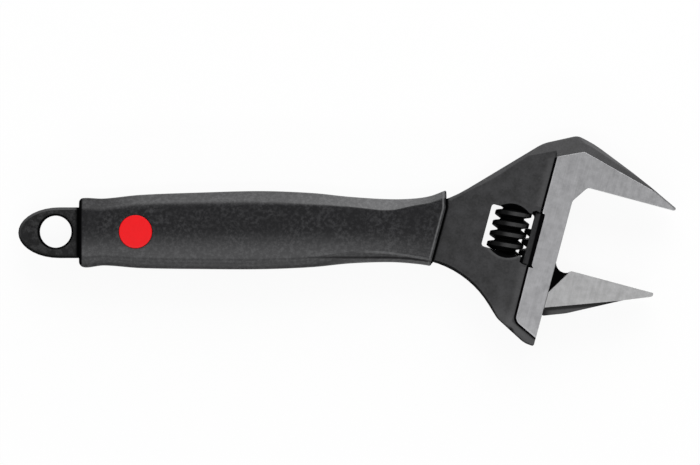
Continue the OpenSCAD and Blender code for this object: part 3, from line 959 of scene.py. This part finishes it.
        # Each of these is painted shade, drawn with the near-black shade finish.
        step = (at.faces(1.0, 0.5) < -0.3) * (at.steep > 0.3) * (at.height > HEAD.half_forged_mm + 0.05)
        step = step * at.box(self.step_across_mm, (self.step_low_mm, self.pad_top_mm))
        scoop = (at.steep < 0.93) * at.window * (1 - self.light_and_wear.hidden * self.side_relief(at))
        ring = (at.x * at.x + at.y * at.y).root().fade(self.hole_mm + 0.55, self.hole_mm + 0.95)
        tail = at.x.ramp(HANDLE.start_mm - 1.7, HANDLE.start_mm - 0.5) * (at.x < HANDLE.start_mm + 2.0)
        gap = HANDLE.past_mouth(at.x, at.y)
        mouth = gap.fade(0.35, 1.15) * (gap > -3.0)
        # Painted shade also under the fixed jaw's outer facet and on edges that face -Y.
        under_edge = at.facet * at.across.ramp(0.0, 14.0) * at.below_flat.fade(0.3, 1.3, 0.6)
        return step | scoop | mouth | ring | tail | self.light_and_wear.hidden * at.low * (at.steep > 0.3) | under_edge

    def side_relief(self, at: BodyPlace) -> Wire:
        """The bevel between the rack and the pad, away from its two edges."""
        clear = at.across.ramp(*self.relief_across_mm) * at.outside.ramp(0.35, 0.95)
        return (at.faces(1.0, 0.0) < -0.2) * (at.steep > 0.5) * clear

    def sill(self, at: BodyPlace) -> Wire:
        """Band of painted highlight along the rounded edge of the scoop below the window.

        Args:
            at: where the shaded point lies.

        Returns:
            1 in the band, and 0 away from it.
        """
        side, rise = at.across - self.sill_middle_mm[0], at.along - self.sill_middle_mm[1]
        gap = (side * side + rise * rise).root() - self.sill_radius_mm
        return gap.band(*self.sill_highlight_mm) * at.box(self.sill_across_mm, self.sill_along_mm)

    def outside_pad(self, at: HeadPlace) -> Wire:
        """Distance outside the edge of the ground pad, in millimetres.

        Args:
            at: where the shaded point lies.

        Returns:
            The distance, which is negative on the pad.
        """
        (top, low), (corner, toe) = self.pad_edge_mm, self.pad_foot_mm
        left = at.along.ramp(corner, self.window_along_mm[1], low, top, eased=False) - at.across
        way = Vector((-low, toe - corner)).normalized()
        return left | way.y * (at.across - low) - way.x * (at.along - corner)


# ---- Movable jaw ----


@dataclass
class MovableJaw:
    """Jaw, web and toothed rod in one piece."""

    node: str = "movable_jaw"
    edge_mm: float = 0.25
    web_half_mm: float = 2.85
    web_end_mm: float = 9.1
    rod_end_mm: float = -4.0
    steel: GroundSteel = GroundSteel(colour=(0.272, 0.272, 0.274))
    coat: ForgedCoat = ForgedCoat()
    painted_shade: PaintedShade = PaintedShade()
    rod: OxideSteel = OxideSteel()

    def build(self) -> list[bpy.types.Object]:
        """Makes the jaw and dresses it."""
        piece = add_mesh("jaw", merged_form(self.node), CAD_SHARP_DEG)
        return [settle(piece, self.material(), Body.JAW, self.node)]

    def material(self) -> bpy.types.Material:
        """Draws the jaw's material: ground flats and mouth face, a black bevel with painted highlight and
        painted shade, painted shade on the web, blackened rod.

        Returns:
            The material.
        """
        pen = Pen("jaw_steel")
        at = HeadPlace(pen)
        normal = pen.soft_edges(self.edge_mm)
        # Painted highlight: the bevel's coat grows lighter away from the slide.
        coat = self.coat.shade(pen, at.place, normal, at.across.ramp(0.5, 7.0) * 0.35)
        steel = self.steel.shade(pen, at, normal)
        rod = self.rod.shade(pen, at.place, normal)
        painted_shade = self.painted_shade.shade(pen, normal)
        web = (at.height < self.web_half_mm) * (at.across < self.web_end_mm) | (at.across < -0.02)
        face = (at.faces(0.0, 1.0) > 0.5) * (at.across > 0.0)
        ground = (at.on_flat() | face) * (1 - web)
        # Painted shade on the web near the jaw, and the blackened rod beyond it.
        black = pen.blend(at.across < self.rod_end_mm, painted_shade, rod)
        # Painted shade: the bevel goes near-black next to the slide and near the flats.
        shaded = at.across.fade(0.2, 3.5, 0.75) | at.below_flat.fade(0.5, 1.1, 0.7)
        bevel = pen.blend(shaded, coat, painted_shade)
        return pen.finish(pen.blend(ground, pen.blend(web, bevel, black), steel))


# ---- Worm, pin and spring ----


@dataclass
class WormDrive:
    """Thumb worm on its pin, steadied by a small spring."""

    outer_mm: float = 7.1
    depth_mm: float = 2.5
    length_mm: float = 16.94
    pitch_mm: float = 4.2
    bore_mm: float = 2.05
    pocket_mm: float = 3.3
    spring_mm: float = 4.0
    wire_mm: float = 0.6
    coil_mm: float = 2.7
    turns: float = 4.0
    loop_shares: tuple[float, float, float] = (0.04, 0.72, 0.76)
    crest_mm: float = 0.62
    flank_mm: float = 1.97
    rest_lift_mm: float = 0.12
    oxide: OxideSteel = OxideSteel()
    wire: SpringSteel = SpringSteel()

    def build(self) -> list[bpy.types.Object]:
        """Makes the worm, its spring and its pin.

        Returns:
            The three pieces.
        """
        oxide = self.worm_material()
        worm = settle(self.worm(oxide), oxide, Body.WORM, "worm")
        wire = self.wire_material("spring_steel", 0.05)
        spring = settle(self.spring(wire), wire, Body.HANDLE, "worm_spring")
        pin = add_mesh("pin", merged_form("worm_pin"), CAD_SHARP_DEG)
        settle(pin, self.wire_material("pin_steel", 0.15), Body.HANDLE, "worm_pin")
        return [worm, spring, pin]

    def wire_material(self, name: str, edge_mm: float) -> bpy.types.Material:
        """Draws bright steel whose edges are rounded by a radius."""
        pen = Pen(name)
        return pen.finish(self.wire.shade(pen, pen.place_mm(), pen.soft_edges(edge_mm)))

    def to_head(self, plan: Plan, x: Wire, y: Wire, z: Wire) -> Wire:
        """Turns a place about the worm's own axis into one on the wrench.

        Args:
            plan: what draws the tree's nodes.
            x: distance towards the jaws, in millimetres.
            y: distance down through the thickness.
            z: distance up the slide, from the middle of the worm.

        Returns:
            The place in metres.
        """
        place: Input = HEAD.spot(HEAD.worm_across_mm, HEAD.worm_along_mm)
        for length, way in ((x, HEAD.across), (y, Vector((0.0, 0.0, -1.0))), (z, HEAD.along)):
            place = plan.vector("ADD", place, plan.scale(way * MM, length))
        return place

    def worm(self, material: bpy.types.Material) -> bpy.types.Object:
        """Makes the worm: a closed wall round the pin whose outside follows the thread.

        Args:
            material: what its tree sets.

        Returns:
            The worm.
        """
        plan = Plan(
            "worm_wheel",
            {
                "Outer Radius": self.outer_mm,
                "Thread Depth": self.depth_mm,
                "Length": self.length_mm,
                "Pitch": self.pitch_mm,
                "Bore": self.bore_mm,
                "Pocket": self.pocket_mm,
                "Pocket Depth": self.spring_mm,
                "Steps Around": 145,
                "Steps Along": 301,
            },
        )
        grid = plan.node(
            "GeometryNodeMeshGrid",
            {},
            {
                "Size X": 1.0,
                "Size Y": 1.0,
                "Vertices X": plan.size("Steps Around"),
                "Vertices Y": plan.size("Steps Along"),
            },
        )
        across, upward, _ = plan.place()
        around, loop = across + 0.5, upward + 0.5
        half = plan.size("Length") / 2
        low_end, high_end, bore = self.loop_shares
        z = loop.ramp(low_end, high_end, 0.0 - half, half, eased=False)
        z = z + loop.ramp(bore, 1.0, 0.0, 0.0 - plan.size("Length"), eased=False)
        wall = loop.ramp(0.0, low_end, eased=False) - loop.ramp(high_end, bore, eased=False)
        turn = around * math.tau
        pitch = plan.size("Pitch")
        phase = (z + HEAD.opening_mm + HEAD.worm_along_mm) / pitch - around + 0.5
        off_crest = (phase.fraction() - 0.5).size() * pitch
        relief = plan.size("Thread Depth") * off_crest.ramp(self.crest_mm, self.flank_mm)
        outside = plan.size("Outer Radius") - relief
        pocket = (z + half) < plan.size("Pocket Depth")
        inside = plan.size("Bore") + (plan.size("Pocket") - plan.size("Bore")) * pocket
        radius = inside + wall * (outside - inside)
        place = self.to_head(plan, radius * turn.cosine(), radius * turn.sine(), z)
        moved = plan.node("GeometryNodeSetPosition", {}, {"Geometry": grid, "Position": place})
        closed = plan.node("GeometryNodeMergeByDistance", {}, {"Geometry": moved, "Distance": JOIN_M})
        return plan.make(closed, material)

    def worm_material(self) -> bpy.types.Material:
        """Draws the worm's steel, lighter on the crests from real polish and from a painted highlight where
        they face up and towards the jaw tips.

        Returns:
            The material.
        """
        pen = Pen("worm_steel")
        at = HeadPlace(pen)
        side = at.across - HEAD.worm_across_mm
        radius = (side * side + at.height * at.height).root()
        # Crests are lighter from real polish, and more where they face up and towards the jaw tips, as
        # painted highlight.
        lit = (at.steep * 0.94 + at.faces(0.34, 0.0)).ramp(0.72, 0.98, 0.15, 1.0)
        crest = radius.ramp(self.outer_mm - 0.25, self.outer_mm - 0.03) * lit
        return pen.finish(self.oxide.shade(pen, at.place, pen.soft_edges(0.1), crest))

    def spring(self, material: bpy.types.Material) -> bpy.types.Object:
        """Makes the spring: a round wire along a spiral.

        Args:
            material: what its tree sets.

        Returns:
            The spring.
        """
        plan = Plan(
            "spring",
            {
                "Coil Radius": self.coil_mm,
                "Wire Radius": self.wire_mm / 2,
                "Length": self.spring_mm - self.wire_mm,
                "Turns": self.turns,
            },
        )
        radius = plan.size("Coil Radius")
        spiral = plan.node(
            "GeometryNodeCurveSpiral",
            {},
            {
                "Resolution": 24,
                "Rotations": plan.size("Turns"),
                "Start Radius": radius,
                "End Radius": radius,
                "Height": plan.size("Length"),
            },
        )
        wire = {"Resolution": 10, "Radius": plan.size("Wire Radius")}
        ring = plan.node("GeometryNodeCurvePrimitiveCircle", {}, wire)
        sweep = {"Curve": spiral, "Profile Curve": ring, "Fill Caps": True}
        coil = plan.node("GeometryNodeCurveToMesh", {}, sweep)
        x, y, z = plan.place()
        lift = z - self.length_mm / 2 + self.wire_mm / 2 - self.rest_lift_mm
        place = self.to_head(plan, x, y, lift)
        moved = plan.node("GeometryNodeSetPosition", {}, {"Geometry": coil, "Position": place})
        return plan.make(moved, material)


# ---- Grip ----


class Station(NamedTuple):
    """Shares that shape the grip at one place along it."""

    at: float
    top: float
    low: float
    upper_bevel: float
    lower_bevel: float
    half: float


@dataclass(frozen=True)
class MouldLine:
    """Line low on the grip that bends down towards the head."""

    low_mm: float
    bend_at_mm: float
    bend: float

    def above(self, x: Wire, y: Wire) -> Wire:
        """Distance above the line, in millimetres."""
        run = (x - self.bend_at_mm) | 0.0
        return y + self.low_mm + self.bend * run * run


@dataclass(frozen=True)
class GripPaintedLight:
    """Strengths of the grip's painted highlights and painted shade, and the stretches in millimetres over
    which they start or end.
    """

    front: float = 0.56
    edge: float = 0.75
    ridge: float = 0.45
    crease: float = 0.6
    front_across_mm: Point = (-9.5, 1.5)
    front_along_mm: Point = (110.0, 150.0)
    edge_height_mm: Point = (4.6, 7.0)
    bevel_tail_mm: Point = (14.0, 36.0)
    bevel_middle_mm: Point = (80.0, 125.0)
    bevel_mouth_mm: Point = (137.0, 150.0)
    ridge_along_mm: Point = (75.0, 110.0)
    rim_mm: tuple[Point, Point] = ((-1.9, -1.4), (-1.2, -0.8))
    mouth_mm: Point = (-0.6, -0.3)
    tail_mm: Point = (0.9, 1.6)
    ridge_line: MouldLine = MouldLine(7.8, 120.0, 0.005)
    crease_line: MouldLine = MouldLine(10.0, 128.0, 0.0045)


@dataclass
class Grip:
    """Moulded grip with a softly domed front, bevelled sides and a red inlay."""

    shank_top_mm: float = 9.5
    shank_low_mm: float = -10.3
    shank_half_mm: float = 3.5
    side_mm: float = 1.6
    swell_mm: float = 5.0
    bevel_mm: float = 4.0
    half_mm: float = 8.96
    tail_mm: float = 1.6
    rim_mm: float = 1.0
    fit_mm: float = 0.05
    crease_mm: Point = (7.0, 1.6)
    crease_between: Point = (0.25, 0.80)
    corner_steps: int = 8
    dome_steps: int = 12
    rings: int = 180
    inlay_at_mm: float = 31.4
    inlay_mm: float = 6.5
    inlay_top_mm: float = 8.6
    inlay_deep_mm: float = 1.35
    inlay_gap_mm: float = 0.14
    inlay_edge_mm: float = 0.35
    inlay_dome_mm: float = 0.06
    flat_share: float = 0.95
    side_share: float = 0.48
    side_radius_mm: float = 2.5
    plastic: GripPlastic = GripPlastic()
    inlay: InlayPlastic = InlayPlastic()
    painted_shade: PaintedShade = PaintedShade()
    light_and_wear: GripPaintedLight = GripPaintedLight()
    stations: tuple[Station, ...] = (
        Station(0.000, 0.38, 0.30, 1.05, 0.75, 0.93),
        Station(0.020, 0.42, 0.42, 1.05, 0.80, 0.94),
        Station(0.068, 0.37, 0.26, 1.05, 0.75, 0.94),
        Station(0.166, 0.65, 0.46, 0.95, 0.75, 0.97),
        Station(0.334, 0.84, 0.54, 1.05, 0.73, 1),
        Station(0.496, 0.95, 0.55, 1.20, 0.73, 1),
        Station(0.634, 0.80, 0.39, 1.15, 0.80, 0.98),
        Station(0.738, 0.50, 0.10, 0.98, 1.05, 0.95),
        Station(0.843, 0.32, 0.00, 1.10, 0.83, 0.93),
        Station(0.912, 0.37, 0.12, 0.65, 0.78, 0.94),
        Station(0.958, 0.58, 0.32, 0.60, 0.75, 0.96),
        Station(1.000, 1.04, 0.72, 0.65, 0.75, 1),
    )

    def build(self) -> list[bpy.types.Object]:
        """Makes the grip and its inlay.

        Returns:
            The two pieces.
        """
        shell = add_mesh("grip_shell", self.shell())
        settle(shell, self.material(), Body.HANDLE, "grip")
        disc = add_mesh("inlay_disc", self.disc())
        pen = Pen("inlay_plastic")
        red = pen.finish(self.inlay.shade(pen, pen.place_mm(), pen.soft_edges(0.1)))
        return [shell, settle(disc, red, Body.HANDLE, "grip_inlay")]

    def material(self) -> bpy.types.Material:
        """Draws the grip's plastic, with painted highlights, and painted shade round the edge of the tail,
        at the mouth and in the crease.

        Returns:
            The material.
        """
        pen = Pen("grip_plastic")
        place, normal = pen.place_mm(), pen.soft_edges(0.3)
        x, y, z = pen.parts(place)
        _, side, rise = pen.parts(pen.facing())
        up = rise.size()
        gap = HANDLE.past_mouth(x, y)
        light, crease = self.mould_lines(x, y)
        # Painted highlights: front, upper bevel, lower ridge, the rim at the mouth and the ridge line.
        highlight_and_rubbing = self.grip_highlights(x, y, z, side, up) | gap.band(*self.light_and_wear.rim_mm) | light
        plastic = self.plastic.shade(pen, place, normal, highlight_and_rubbing)
        # Painted shade round the edge of the tail, at the mouth's gap and in the crease.
        tail = (x - HANDLE.start_mm).fade(*self.light_and_wear.tail_mm)
        dark = tail | gap.ramp(*self.light_and_wear.mouth_mm) | self.light_and_wear.crease * crease
        return pen.finish(pen.blend(dark, plastic, self.painted_shade.shade(pen, normal)))

    def grip_highlights(self, x: Wire, y: Wire, z: Wire, side: Wire, up: Wire) -> Wire:
        """Painted highlights on the grip: its front, lighter towards its lower side, its upper bevel and its
        lower ridge.

        Args:
            x: distance along the handle, in millimetres.
            y: distance across it.
            z: height.
            side: how far the surface faces up across the handle.
            up: how far it faces out of the handle's front or back.

        Returns:
            The share of painted highlight.
        """
        light_and_wear = self.light_and_wear
        edge = (side < 0.0) * z.size().ramp(*light_and_wear.edge_height_mm)
        front = (up.ramp(0.90, 0.99) | light_and_wear.edge * edge) * y.fade(*light_and_wear.front_across_mm)
        front = front * x.ramp(*light_and_wear.front_along_mm, 1.0, 0.35)
        along = x.ramp(*light_and_wear.bevel_tail_mm, 0.08, 0.5) + x.ramp(*light_and_wear.bevel_middle_mm, 0.0, 0.5)
        bevel = side.ramp(0.35, 0.65) * (up > 0.3) * along * x.ramp(*light_and_wear.bevel_mouth_mm, 1.0, 0.55)
        ridge = up.band((0.62, 0.78), (0.90, 0.97)) * (side < 0.0) * x.ramp(*light_and_wear.ridge_along_mm)
        return light_and_wear.front * front | bevel | light_and_wear.ridge * ridge

    def mould_lines(self, x: Wire, y: Wire) -> tuple[Wire, Wire]:
        """Painted highlight for a ridge and painted shade for a crease low on the grip's head end; neither
        has any form in the mesh.

        Args:
            x: distance along the handle, in millimetres.
            y: distance across it.

        Returns:
            The lighter share and the darker one.
        """
        ridge = self.light_and_wear.ridge_line.above(x, y)
        crease = self.light_and_wear.crease_line.above(x, y)
        light = ridge.size().fade(0.25, 0.75, 0.9) * x.ramp(108.0, 126.0)
        strip = crease.fade(-0.7, -0.4, 0.6) * x.ramp(96.0, 120.0)
        return light | strip, crease.size().fade(0.2, 0.55) * x.ramp(90.0, 112.0)

    def station(self, share: float) -> Station:
        """Reads the smooth curve through the stations.

        Args:
            share: share of the grip's length.

        Returns:
            The shares that hold there.
        """
        rows = self.stations
        last = len(rows) - 1
        i = max(k for k in range(last) if rows[k][0] <= max(share, 0.0))
        a, b, c, d = rows[max(i - 1, 0)], rows[i], rows[i + 1], rows[min(i + 2, last)]
        span = c[0] - b[0]
        t = (min(share, 1.0) - b[0]) / span
        found = []
        for j in range(len(b)):
            go_b = (c[j] - a[j]) * span / (c[0] - a[0])
            go_c = (d[j] - b[j]) * span / (d[0] - b[0])
            found.append(
                b[j] * (2 * t**3 - 3 * t**2 + 1)
                + go_b * (t**3 - 2 * t**2 + t)
                + c[j] * (3 * t**2 - 2 * t**3)
                + go_c * (t**3 - t**2)
            )
        return Station(*found)

    def section(self, x_mm: float, inset_mm: float) -> list[Point]:
        """Outline of the grip across the handle.

        Args:
            x_mm: where along the handle.
            inset_mm: how far inside the full outline.

        Returns:
            Its points, each across and up, in millimetres.
        """
        share = (x_mm - HANDLE.start_mm) / HANDLE.length_mm
        s = self.station(share)
        top = self.shank_top_mm + self.side_mm + self.swell_mm * s.top - inset_mm
        low = self.shank_low_mm - self.side_mm - self.swell_mm * s.low + inset_mm
        half = self.half_mm * s.half - inset_mm
        upper = (top - self.bevel_mm * s.upper_bevel, self.flat_share * half)
        lower = (low + self.bevel_mm * s.lower_bevel, self.flat_share * half)
        dome = arc_between(upper, (top + (low - top) * 0.45, half), lower, self.dome_steps)
        wide, tight = self.crease_mm
        soft = wide + (tight - wide) * eased(share, *self.crease_between)
        front = [(top, self.side_share * half, self.side_radius_mm), (*upper, soft)]
        front += [(y, z, 0.0) for y, z in dome]
        front += [(*lower, soft), (low, self.side_share * half, self.side_radius_mm)]
        corners = front + [(y, -z, r) for y, z, r in reversed(front)]
        return round_corners(corners, self.corner_steps)

    def slanted(self, x_mm: float, y_mm: float) -> float:
        """Moves a place near the mouth back by the mouth's slant."""
        share = min(max((x_mm - HANDLE.start_mm) / HANDLE.length_mm * 2.0 - 1.0, 0.0), 1.0)
        return x_mm - share * max(HANDLE.knee_mm - y_mm, 0.0) * HANDLE.slant

    def ring(self, form: bmesh.types.BMesh, x_mm: float, inset_mm: float) -> list[bmesh.types.BMVert]:
        """Adds one ring of the grip's outside.

        Args:
            form: where it goes.
            x_mm: where along the handle, as if the mouth were square.
            inset_mm: how far inside the full outline.

        Returns:
            The ring's corners.
        """
        points = self.section(x_mm, inset_mm)
        corners = []
        for i, (y, z) in enumerate(points):
            x = x_mm
            for _ in range(3):
                x = self.slanted(x_mm, y)
                y, z = self.section(x, inset_mm)[i] if x < x_mm else (y, z)
            corners.append(form.verts.new(Vector((x, y, z)) * MM))
        return corners

    def shell(self) -> bmesh.types.BMesh:
        """Makes the grip: a loft outside, a tunnel round the shank, and both ends between them.

        Returns:
            The form.
        """
        form = bmesh.new()
        start, end = HANDLE.start_mm, HANDLE.end_mm
        steps = [(start + self.tail_mm * c, self.tail_mm * s) for c, s in quarter_turn(8)[:-1]]
        run = HANDLE.length_mm - self.tail_mm - self.rim_mm
        steps += [(start + self.tail_mm + run * k / self.rings, 0.0) for k in range(self.rings)]
        steps += [(end - self.rim_mm * s, self.rim_mm * c) for c, s in quarter_turn(6)]
        outside = [self.ring(form, x, inset) for x, inset in steps]
        inside = self.tunnel(form, [start, start + 4.0, end - 12.0, end - 6.0, end - 3.0, end])
        for rings in (outside, inside):
            for low, high in zip(rings, rings[1:]):
                for j in range(len(low)):
                    k = (j + 1) % len(low)
                    form.faces.new((low[j], high[j], high[k], low[k]))
        for i in (0, -1):
            pairs = [pair for r in (outside[i], inside[i]) for pair in zip(r, r[1:] + r[:1])]
            bmesh.ops.bridge_loops(form, edges=[form.edges.get(pair) for pair in pairs])
        bmesh.ops.recalc_face_normals(form, faces=form.faces)
        return self.with_seat(form)

    def tunnel(self, form: bmesh.types.BMesh, places_mm: Sequence[float]) -> list[list[bmesh.types.BMVert]]:
        """Adds the rings of the tunnel that the shank fills.

        Args:
            form: where they go.
            places_mm: where along the handle, as if the mouth were square.

        Returns:
            The rings.
        """
        rings = []
        half = self.shank_half_mm + self.fit_mm
        for x_mm in places_mm:
            corners = []
            for side, up in ((1, 1), (1, -1), (-1, -1), (-1, 1)):
                edge = self.shank_top_mm if side > 0 else self.shank_low_mm
                x = self.slanted(x_mm, edge)
                y = shank_edge_mm(x, side) + side * self.fit_mm
                corners.append(form.verts.new(Vector((x, y, up * half)) * MM))
            rings.append(corners)
        return rings

    def with_seat(self, form: bmesh.types.BMesh) -> bmesh.types.BMesh:
        """Cuts the inlay's seat into the grip.

        Args:
            form: the grip.

        Returns:
            The grip with its seat.
        """
        block = add_mesh("grip_blank", form)
        cutter = bmesh.new()
        deep = self.inlay_deep_mm + 2.0
        middle = (self.inlay_at_mm, 0.0, self.inlay_top_mm - self.inlay_deep_mm + deep / 2)
        radius = (self.inlay_mm + self.inlay_gap_mm) * MM
        bmesh.ops.create_cone(
            cutter, cap_ends=True, segments=96, radius1=radius, radius2=radius, depth=deep * MM,
            matrix=Matrix.Translation(Vector(middle) * MM),
        )
        tool = add_mesh("seat_cutter", cutter)
        cut = block.modifiers.new("seat", "BOOLEAN")
        cut.operation, cut.solver, cut.object = "DIFFERENCE", "EXACT", tool
        graph = bpy.context.evaluated_depsgraph_get()
        mesh = bpy.data.meshes.new_from_object(block.evaluated_get(graph))
        result = bmesh.new()
        result.from_mesh(mesh)
        for spare in (block, tool):
            bpy.data.objects.remove(spare)
        return result

    def disc(self) -> bmesh.types.BMesh:
        """Makes the inlay: a disc with a rounded edge and a faintly domed top.

        Returns:
            The form.
        """
        form = bmesh.new()
        top, low = self.inlay_top_mm, self.inlay_top_mm - self.inlay_deep_mm
        edge, dome = self.inlay_edge_mm, self.inlay_dome_mm
        profile = [(0.0, low), (self.inlay_mm, low)]
        profile += [(self.inlay_mm - edge * c, top - dome - edge * s) for c, s in quarter_turn(5)]
        shares = [1 - k / 8 for k in range(1, 9)]
        profile += [((self.inlay_mm - edge) * share, top - dome * share**2) for share in shares]
        corners = [form.verts.new(Vector((self.inlay_at_mm + r, 0.0, z)) * MM) for r, z in profile]
        edges = [form.edges.new(pair) for pair in zip(corners, corners[1:])]
        middle = Vector((self.inlay_at_mm, 0.0, 0.0)) * MM
        bmesh.ops.spin(
            form, geom=corners + edges, cent=middle, axis=(0.0, 0.0, 1.0), angle=math.tau, steps=96
        )
        # Spin leaves its faces in an order that changes from run to run.
        form.verts.index_update()
        form.faces.sort(key=lambda face: sum(corner.index for corner in face.verts))
        bmesh.ops.remove_doubles(form, verts=form.verts, dist=JOIN_M)
        bmesh.ops.recalc_face_normals(form, faces=form.faces)
        return form


def round_corners(corners: Sequence[tuple[float, float, float]], steps: int) -> list[Point]:
    """Turns each corner of an outline into an arc of equal steps.

    Args:
        corners: the corners, each with its radius.
        steps: steps of each arc.

    Returns:
        The rounded outline.
    """
    count = len(corners)
    spots = [Vector(c[:2]) for c in corners]
    ways = [(spots[(i + 1) % count] - spots[i]).normalized() for i in range(count)]
    turns = [ways[i - 1].angle(ways[i], 0.0) for i in range(count)]
    need = [corners[i][2] * math.tan(turns[i] / 2) for i in range(count)]
    outline: list[Point] = []
    for i in range(count):
        if corners[i][2] == 0:
            outline.append((spots[i].x, spots[i].y))
            continue
        before, after = (i - 1) % count, (i + 1) % count
        room_in = 0.98 * (spots[i] - spots[before]).length / max(need[i] + need[before], 0.001)
        room_on = 0.98 * (spots[after] - spots[i]).length / max(need[i] + need[after], 0.001)
        length = need[i] * min(1.0, room_in, room_on)
        way = ways[before]
        side = math.copysign(1.0, way.x * ways[i].y - way.y * ways[i].x)
        radius = length / math.tan(turns[i] / 2)
        start = spots[i] - length * way
        centre = start + side * radius * Vector((-way.y, way.x))
        first = math.atan2(start.y - centre.y, start.x - centre.x)
        for k in range(steps + 1):
            a = first + side * turns[i] * k / steps
            outline.append((centre.x + radius * math.cos(a), centre.y + radius * math.sin(a)))
    return outline


def quarter_turn(steps: int) -> list[Point]:
    """Shares in from a rounded edge: 1 less the cosine and the sine, over a quarter turn."""
    angles = [math.pi / 2 * k / steps for k in range(steps + 1)]
    return [(1 - math.cos(a), 1 - math.sin(a)) for a in angles]


def eased(value: float, low: float, high: float) -> float:
    """Goes smoothly from 0 to 1 while a value runs from low to high."""
    share = min(max((value - low) / (high - low), 0.0), 1.0)
    return share * share * (3 - 2 * share)


def arc_between(start: Point, middle: Point, end: Point, steps: int) -> list[Point]:
    """Finds places on the arc through three points, between its ends.

    Args:
        start: where the arc starts.
        middle: a point that it passes.
        end: where it ends.
        steps: steps of the arc.

    Returns:
        The places, without the two ends.
    """
    (ax, ay), (bx, by), (cx, cy) = start, middle, end
    twice = 2 * (ax * (by - cy) + bx * (cy - ay) + cx * (ay - by))
    a2, b2, c2 = ax * ax + ay * ay, bx * bx + by * by, cx * cx + cy * cy
    x = (a2 * (by - cy) + b2 * (cy - ay) + c2 * (ay - by)) / twice
    y = (a2 * (cx - bx) + b2 * (ax - cx) + c2 * (bx - ax)) / twice
    radius = math.hypot(ax - x, ay - y)
    first, last = math.atan2(ay - y, ax - x), math.atan2(cy - y, cx - x)
    turns = [first + (last - first) * k / steps for k in range(1, steps)]
    return [(x + radius * math.cos(a), y + radius * math.sin(a)) for a in turns]


def shank_edge_mm(x_mm: float, side: int) -> float:
    """Finds the CAD shank's edge at a place along the handle.

    Args:
        x_mm: where along the handle.
        side: 1 for the upper edge, and -1 for the lower one.

    Returns:
        How far across the handle the edge lies.
    """
    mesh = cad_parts["body"].data
    best = 0.0
    for edge in mesh.edges:
        a, b = (mesh.vertices[i].co / MM for i in edge.vertices)
        if min(a.x, b.x) <= x_mm <= max(a.x, b.x):
            share = 0.0 if a.x == b.x else (x_mm - a.x) / (b.x - a.x)
            best = max(best, side * (a.y + (b.y - a.y) * share))
    return side * best


# ---- Studio ----


class Lamp(NamedTuple):
    """Soft area lamp: where it stands, its width and height in metres, and its power in watts."""

    name: str
    place: tuple[float, float, float]
    size: Point
    power: float


@dataclass
class Studio:
    """Pale floor, plain soft light and a camera straight above."""

    middle_mm: Point = (114.894, -0.312)
    height_m: float = 3.0363
    lens_mm: float = 400.0
    sensor_mm: float = 36.0
    world_grey: float = 0.40
    floor_grey: float = 0.9
    floor_glow: float = 0.92
    floor_m: float = 6.0
    lamps: tuple[Lamp, ...] = (
        Lamp("key", (0.45, 1.45, 0.75), (2.2, 1.4), 34.0),
        Lamp("overhead", (0.12, -0.44, 1.50), (1.4, 0.20), 4.5),
        Lamp("low", (0.12, -1.25, 0.65), (1.4, 0.12), 5.0),
    )

    def build(self) -> None:
        """Makes the camera, the floor, the world and the lamps."""
        self.camera()
        self.floor()
        self.world()
        for lamp in self.lamps:
            self.light(lamp)
        bpy.context.scene.view_settings.view_transform = "Standard"

    def camera(self) -> None:
        """Makes the camera, which looks straight down."""
        eye = bpy.data.cameras.new("camera")
        eye.lens, eye.sensor_width = self.lens_mm, self.sensor_mm
        eye.clip_start, eye.clip_end = 0.05, 50.0
        holder = bpy.data.objects.new("camera", eye)
        holder.location = (self.middle_mm[0] * MM, self.middle_mm[1] * MM, self.height_m)
        bpy.context.scene.collection.objects.link(holder)
        bpy.context.scene.camera = holder

    def floor(self) -> None:
        """Makes the floor, on which the wrench rests."""
        form = bmesh.new()
        bmesh.ops.create_grid(form, x_segments=1, y_segments=1, size=self.floor_m)
        piece = add_mesh("floor", form)
        piece.location.z = CAD_BOX[0][2]
        pen = Pen("floor_paint")
        paint = pen.node("ShaderNodeBsdfDiffuse", {}, {"Color": opaque((self.floor_grey,) * 3)})
        glow = pen.node("ShaderNodeEmission", {}, {"Color": opaque((1.0, 1.0, 1.0)), "Strength": 1.0})
        dress(piece, pen.finish(pen.blend(self.floor_glow * seen(pen), paint, glow)))

    def world(self) -> None:
        """Makes the world: plain grey light that looks white."""
        world = bpy.data.worlds.new("studio")
        world.use_nodes = True
        bpy.context.scene.world = world
        board = Board(world.node_tree)
        board.tree.nodes.clear()
        strength = self.world_grey + (1 - self.world_grey) * seen(board)
        light = board.node("ShaderNodeBackground", {}, {"Color": (1.0, 1.0, 1.0, 1.0), "Strength": strength})
        board.node("ShaderNodeOutputWorld", {}, {"Surface": light}, output=None)

    def light(self, lamp: Lamp) -> None:
        """Adds a lamp that points at the wrench.

        Args:
            lamp: its place, size and power.
        """
        light = bpy.data.lights.new(lamp.name, "AREA")
        light.shape, light.energy = "RECTANGLE", lamp.power
        light.size, light.size_y = lamp.size
        holder = bpy.data.objects.new(lamp.name, light)
        holder.location = lamp.place
        target = Vector((self.middle_mm[0] * MM, self.middle_mm[1] * MM, 0.0))
        holder.rotation_euler = (target - Vector(lamp.place)).to_track_quat("-Z", "Y").to_euler()
        bpy.context.scene.collection.objects.link(holder)


def seen(board: Board) -> Wire:
    """Picks the rays that show a background, straight, by reflection or through glass.

    Args:
        board: what draws the nodes.

    Returns:
        1 for those rays, and 0 for the others.
    """
    rays = board.node("ShaderNodeLightPath").socket.node
    names = ("Is Camera Ray", "Is Glossy Ray", "Is Transmission Ray")
    camera, glossy, through = (Wire(board, rays.outputs[name]) for name in names)
    return camera | glossy | through


def main() -> None:
    """Builds the wrench piece by piece."""
    logging.basicConfig(level=logging.INFO, format="%(name)s: %(message)s")
    Studio().build()
    for assembly in (ForgedBody(), MovableJaw(), WormDrive(), Grip()):
        for piece in assembly.build():
            LOG.info("%s, with %d faces", piece.name, len(piece.data.polygons))


if __name__ == "__main__":
    main()
